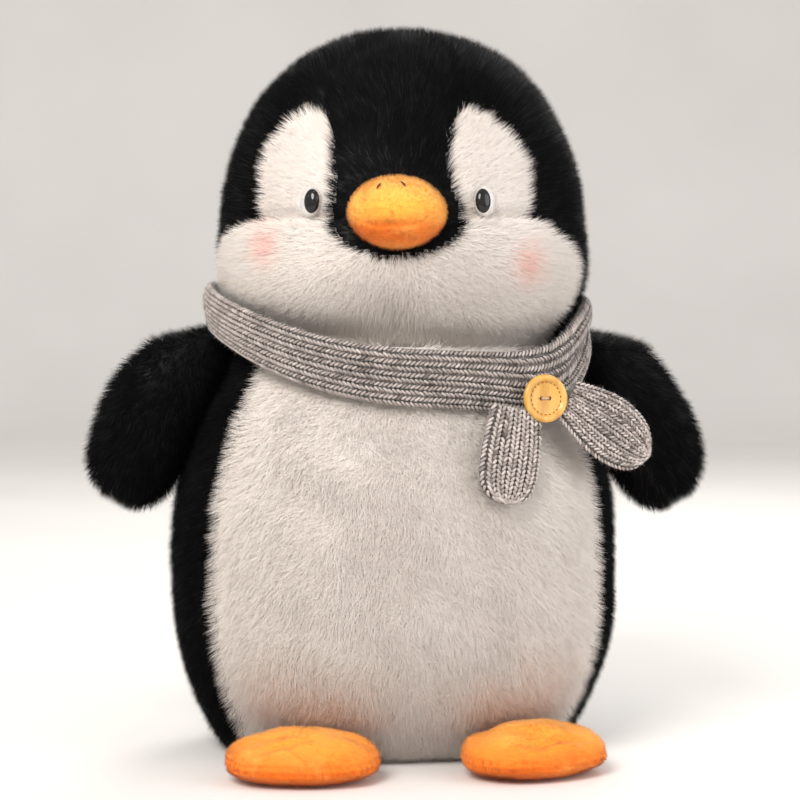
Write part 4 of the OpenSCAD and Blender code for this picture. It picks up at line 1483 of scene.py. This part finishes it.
class Tail:
    """A flat knitted tail with rolled edges that hangs along its own -Z."""

    def __init__(self, length, half_w, depth, top, ways, bow=0.0, ribs=0.0, groups=1, slim=0.72,
                 blunt=5):
        self.length, self.half_w, self.depth = length, half_w, depth
        self.top, self.ways, self.bow = np.array(top), ways, bow
        self.ribs, self.groups, self.slim, self.blunt = ribs, groups, slim, blunt

    def half_at(self, share):
        wide = mix(self.slim, 1, sind(np.minimum(90, 150 * np.maximum(0, share))))
        round_end = np.sqrt(np.maximum(0.02, 1 - np.clip(share, 0, 1) ** self.blunt))
        return self.half_w * wide * round_end

    def settle(self, local):
        for turn, angle in self.ways:
            local = turn(local, angle)
        return local + self.top

    def place(self, s, t, lift):
        """s from 0 at the top to 1 at the end, t from -1 to 1 across."""
        s, t, lift = np.broadcast_arrays(s, t, lift)
        half = self.half_at(s)
        round_r = self.depth * 0.5
        flat = np.clip(np.abs(t) / ROLL_FROM, 0, 1)
        turn = 80 * np.clip((np.abs(t) - ROLL_FROM) / (1 - ROLL_FROM), 0, 1)
        valley = -self.ribs * np.abs(cosd(90 * t * self.groups + 90 * (self.groups % 2))) ** 6
        valley = valley * smooth_step(1 - np.abs(t), 0.02, 0.2)
        r = round_r + lift
        x = np.sign(t) * (flat * (half - round_r) + r * sind(turn))
        face = self.depth - round_r + r * cosd(turn) + valley
        curl = 0.8 * (1 - t**2) * np.sin(math.pi * np.clip(s, 0, 1))
        y = -(face + curl) - self.bow * np.sin(math.pi * np.clip(s, 0, 1))
        return self.settle(np.stack([x, y, -self.length * s], -1))

    def loop(self, along):
        t = np.linspace(-1, 1, 41)
        s = along[:, None]
        front = self.place(s, t[None], -0.3)
        back_t = np.linspace(0.9, -0.9, 19)[None]
        half = self.half_at(s)
        bow = self.bow * np.sin(math.pi * np.clip(s, 0, 1))
        back = np.stack([half * back_t, -0.3 - bow + 0 * back_t, -self.length * s + 0 * back_t], -1)
        return np.concatenate([front, self.settle(back)], axis=1)

    def build(self, name, columns, body, node, radius):
        rows = round(self.length / STITCH)
        knit_cloth(name, self.loop, self.place, rows, columns, body, node,
                   radius=radius)


def build_tails():
    front = Tail(43, 15.5, 5.0, (42.5, -83.0, 167), ((turned_z, 22), (turned_x, -8), (turned_y, 9)),
                 slim=0.82, blunt=9)
    front.build("tail_front", 6, "tail_front", "scarf_tail_front", 0.7)
    side = Tail(52, 15.5, 5.0, (68.0, -74.5, 171.2), ((turned_y, -58), (turned_z, 20)), bow=1.5,
                ribs=1.6, groups=3, slim=0.6)
    side.build("tail_side", 7, "tail_side", "scarf_tail_side", 0.62)


# ---------------------------------------------------------------- button and label

BUTTON_SEAT = np.array([57.5, -81.6, 171.7])
BUTTON_LOOK_TURN = 15
BUTTON_R = 11.0
BUTTON_T = 3.4
BUTTON_HOLE_X = 2.1
BUTTON_DASHES = 22


def wood():
    """Pale turned wood with a long grain."""
    n = Nodes(material("button_wood", (0.62, 0.36, 0.1), 0.4, specular=0.35, coat=0.2))
    grain = n.noise(260, 4, n.stretch((1.0, 1.0, 0.12)))
    n.colour(n.ramp(grain, [(0.3, (0.44, 0.21, 0.04)), (0.55, (0.6, 0.33, 0.075)),
                            (0.75, (0.7, 0.42, 0.13))]))
    n.rough(n.span(n.noise(500, 3), 0.3, 0.7, 0.25, 0.45))
    return n.mat


def button_place(points):
    return turned_z(turned_x(points, 86), BUTTON_LOOK_TURN) + BUTTON_SEAT


def drill(obj, points, faces):
    """Cuts a closed shape out of a piece and removes the cutter."""
    cutter = add_mesh("cutter", points, faces, [])
    outward(cutter)
    cut = obj.modifiers.new("cut", "BOOLEAN")
    cut.operation = "DIFFERENCE"
    cut.object = cutter
    cut.solver = "EXACT"
    bake_modifiers(obj)
    bpy.data.objects.remove(cutter)


def build_button():
    r, t = BUTTON_R, BUTTON_T
    rim = [(r - 1.5 + 1.5 * cosd(a), 1.7 + (t - 1.7) * sind(a)) for a in np.linspace(-60, 90, 12)]
    dip = [(r - 2.6, t - 0.15), (r - 3.0, t - 0.8), (r - 3.5, t - 1.15), (r - 5, t - 1.25)]
    profile = [(2, 0.2), (r - 1.5, 0.2)] + rim + dip + [(3, t - 1.5), (0.4, t - 1.55)]
    points, faces = lathe(profile, 96)
    button = add_mesh("scarf_button_wood", points, faces, [wood()])
    outward(button)
    for side in (-1, 1):
        hole, caps = lathe([(0.95, -2), (0.95, 6)], 32)
        drill(button, hole + [side * BUTTON_HOLE_X, 0, 0], caps)
    set_points(button, button_place(points_of(button)))
    dress(button, "torso", "button_wood", "scarf_button")


def build_button_dashes():
    """A ring of burnt dashes inside the rim."""

    def place(s, turn, lift):
        s, turn, lift = np.broadcast_arrays(s, turn, lift)
        height = BUTTON_T - 1.12 + lift
        return button_place(np.stack([s * cosd(turn), s * sind(turn), height], -1))

    turn = np.arange(BUTTON_DASHES) * 360 / BUTTON_DASHES
    radius = np.full(BUTTON_DASHES, BUTTON_R - 3.55)
    starts, ends = np.stack([radius, turn], -1), np.stack([radius, turn + 9.5], -1)
    burnt = material("burnt_mark", (0.28, 0.06, 0.02), 0.7)
    dashes = strands("scarf_button_dashes", starts, ends, np.full(BUTTON_DASHES, 0.02), place,
                     0.26, np.zeros(BUTTON_DASHES, int), [burnt])
    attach(dashes, "torso")


def build_button_thread():
    """Three turns of thread between the two holes."""

    def place(s, across, lift):
        s, across, lift = np.broadcast_arrays(s, across, lift)
        return button_place(np.stack([s, across, BUTTON_T - 1.9 + lift], -1))

    starts = np.array([(-2.4, y) for y in (-0.35, 0.0, 0.35)])
    ends = np.array([(2.4, y) for y in (0.1, -0.3, 0.3)])
    cotton = material("button_cotton", (0.5, 0.34, 0.2), 0.7, sheen=0.3)
    thread = strands("scarf_button_thread", starts, ends, np.array([0.8, 0.95, 0.8]), place,
                     0.27, np.zeros(3, int), [cotton])
    dress(thread, "torso", "brown_thread", "button_thread")


LABEL_ANGLE = 112
LABEL_Z = 19


def ribbon():
    """Pink ribbon with a fine weave."""
    n = Nodes(material("pink_ribbon", (0.85, 0.36, 0.47), 0.6, sheen=0.4))
    weave = n.add("TexWave")
    weave.inputs["Scale"].default_value = 900
    n.join(n.stretch((0.2, 0.2, 1)), weave.inputs["Vector"])
    n.colour(n.ramp(weave.outputs["Fac"], [(0.2, (0.8, 0.3, 0.42)), (0.8, (0.93, 0.47, 0.57))]))
    n.bump(weave.outputs["Fac"], 0.3, 0.0002)
    return n.mat


def build_label():
    """A folded ribbon sewn into the side seam."""
    gap, reach, thick = 0.42, 12.4, 1.2
    bend = np.linspace(0, 180, 9)
    line = [(gap, y) for y in np.linspace(-4, reach, 14)]
    line += [(gap * cosd(a), reach + 0.7 * sind(a)) for a in bend[1:-1]]
    line += [(-gap, y) for y in np.linspace(reach, -4, 14)]
    line = np.array(line)
    way = unit(np.gradient(line, axis=0))
    side = np.stack([way[:, 1], -way[:, 0]], -1)
    rows = []
    for z, depth in ((-6.4, 0.1), (-6.5, 0), (-6.4, -0.1), (6.4, -0.1), (6.5, 0), (6.4, 0.1)):
        ring = line + side * (depth * thick)
        wave = 0.5 * np.sin(ring[:, 1] * 0.25 + z * 0.2)
        rows.append(np.stack([ring[:, 0] + wave, ring[:, 1], z + 0 * wave], -1))
    grid = np.stack(rows, axis=1)
    points, faces = closed_grid(grid)
    points = turned_z(points, LABEL_ANGLE - 180)
    points = points + torso_point(np.array(LABEL_ANGLE), np.array(LABEL_Z), 0)
    label = add_mesh("seam_label_ribbon", points, faces, [ribbon()])
    outward(label)
    dress(label, "torso", "pink_ribbon", "seam_label")


def plain_washers():
    """The washers behind the eyes keep their shape and get their own surface."""
    n = Nodes(material("clear_plastic", (0.75, 0.77, 0.78), 0.35, specular=0.5))
    n.colour(n.ramp(n.noise(200, 2), [(0.3, (0.7, 0.72, 0.73)), (0.7, (0.8, 0.81, 0.82))]))
    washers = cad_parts["eye_washers"]
    washers.data.materials.clear()
    washers.data.materials.append(n.mat)


build_stage()
build_camera()
build_torso()
build_head()
build_wing(1, "left")
build_wing(-1, "right")
build_foot(1, "left")
build_foot(-1, "right")
build_beak()
build_nostrils()
build_eye(1, "left")
build_eye(-1, "right")
plain_washers()
build_band()
build_tails()
build_button()
build_button_dashes()
build_button_thread()
build_label()
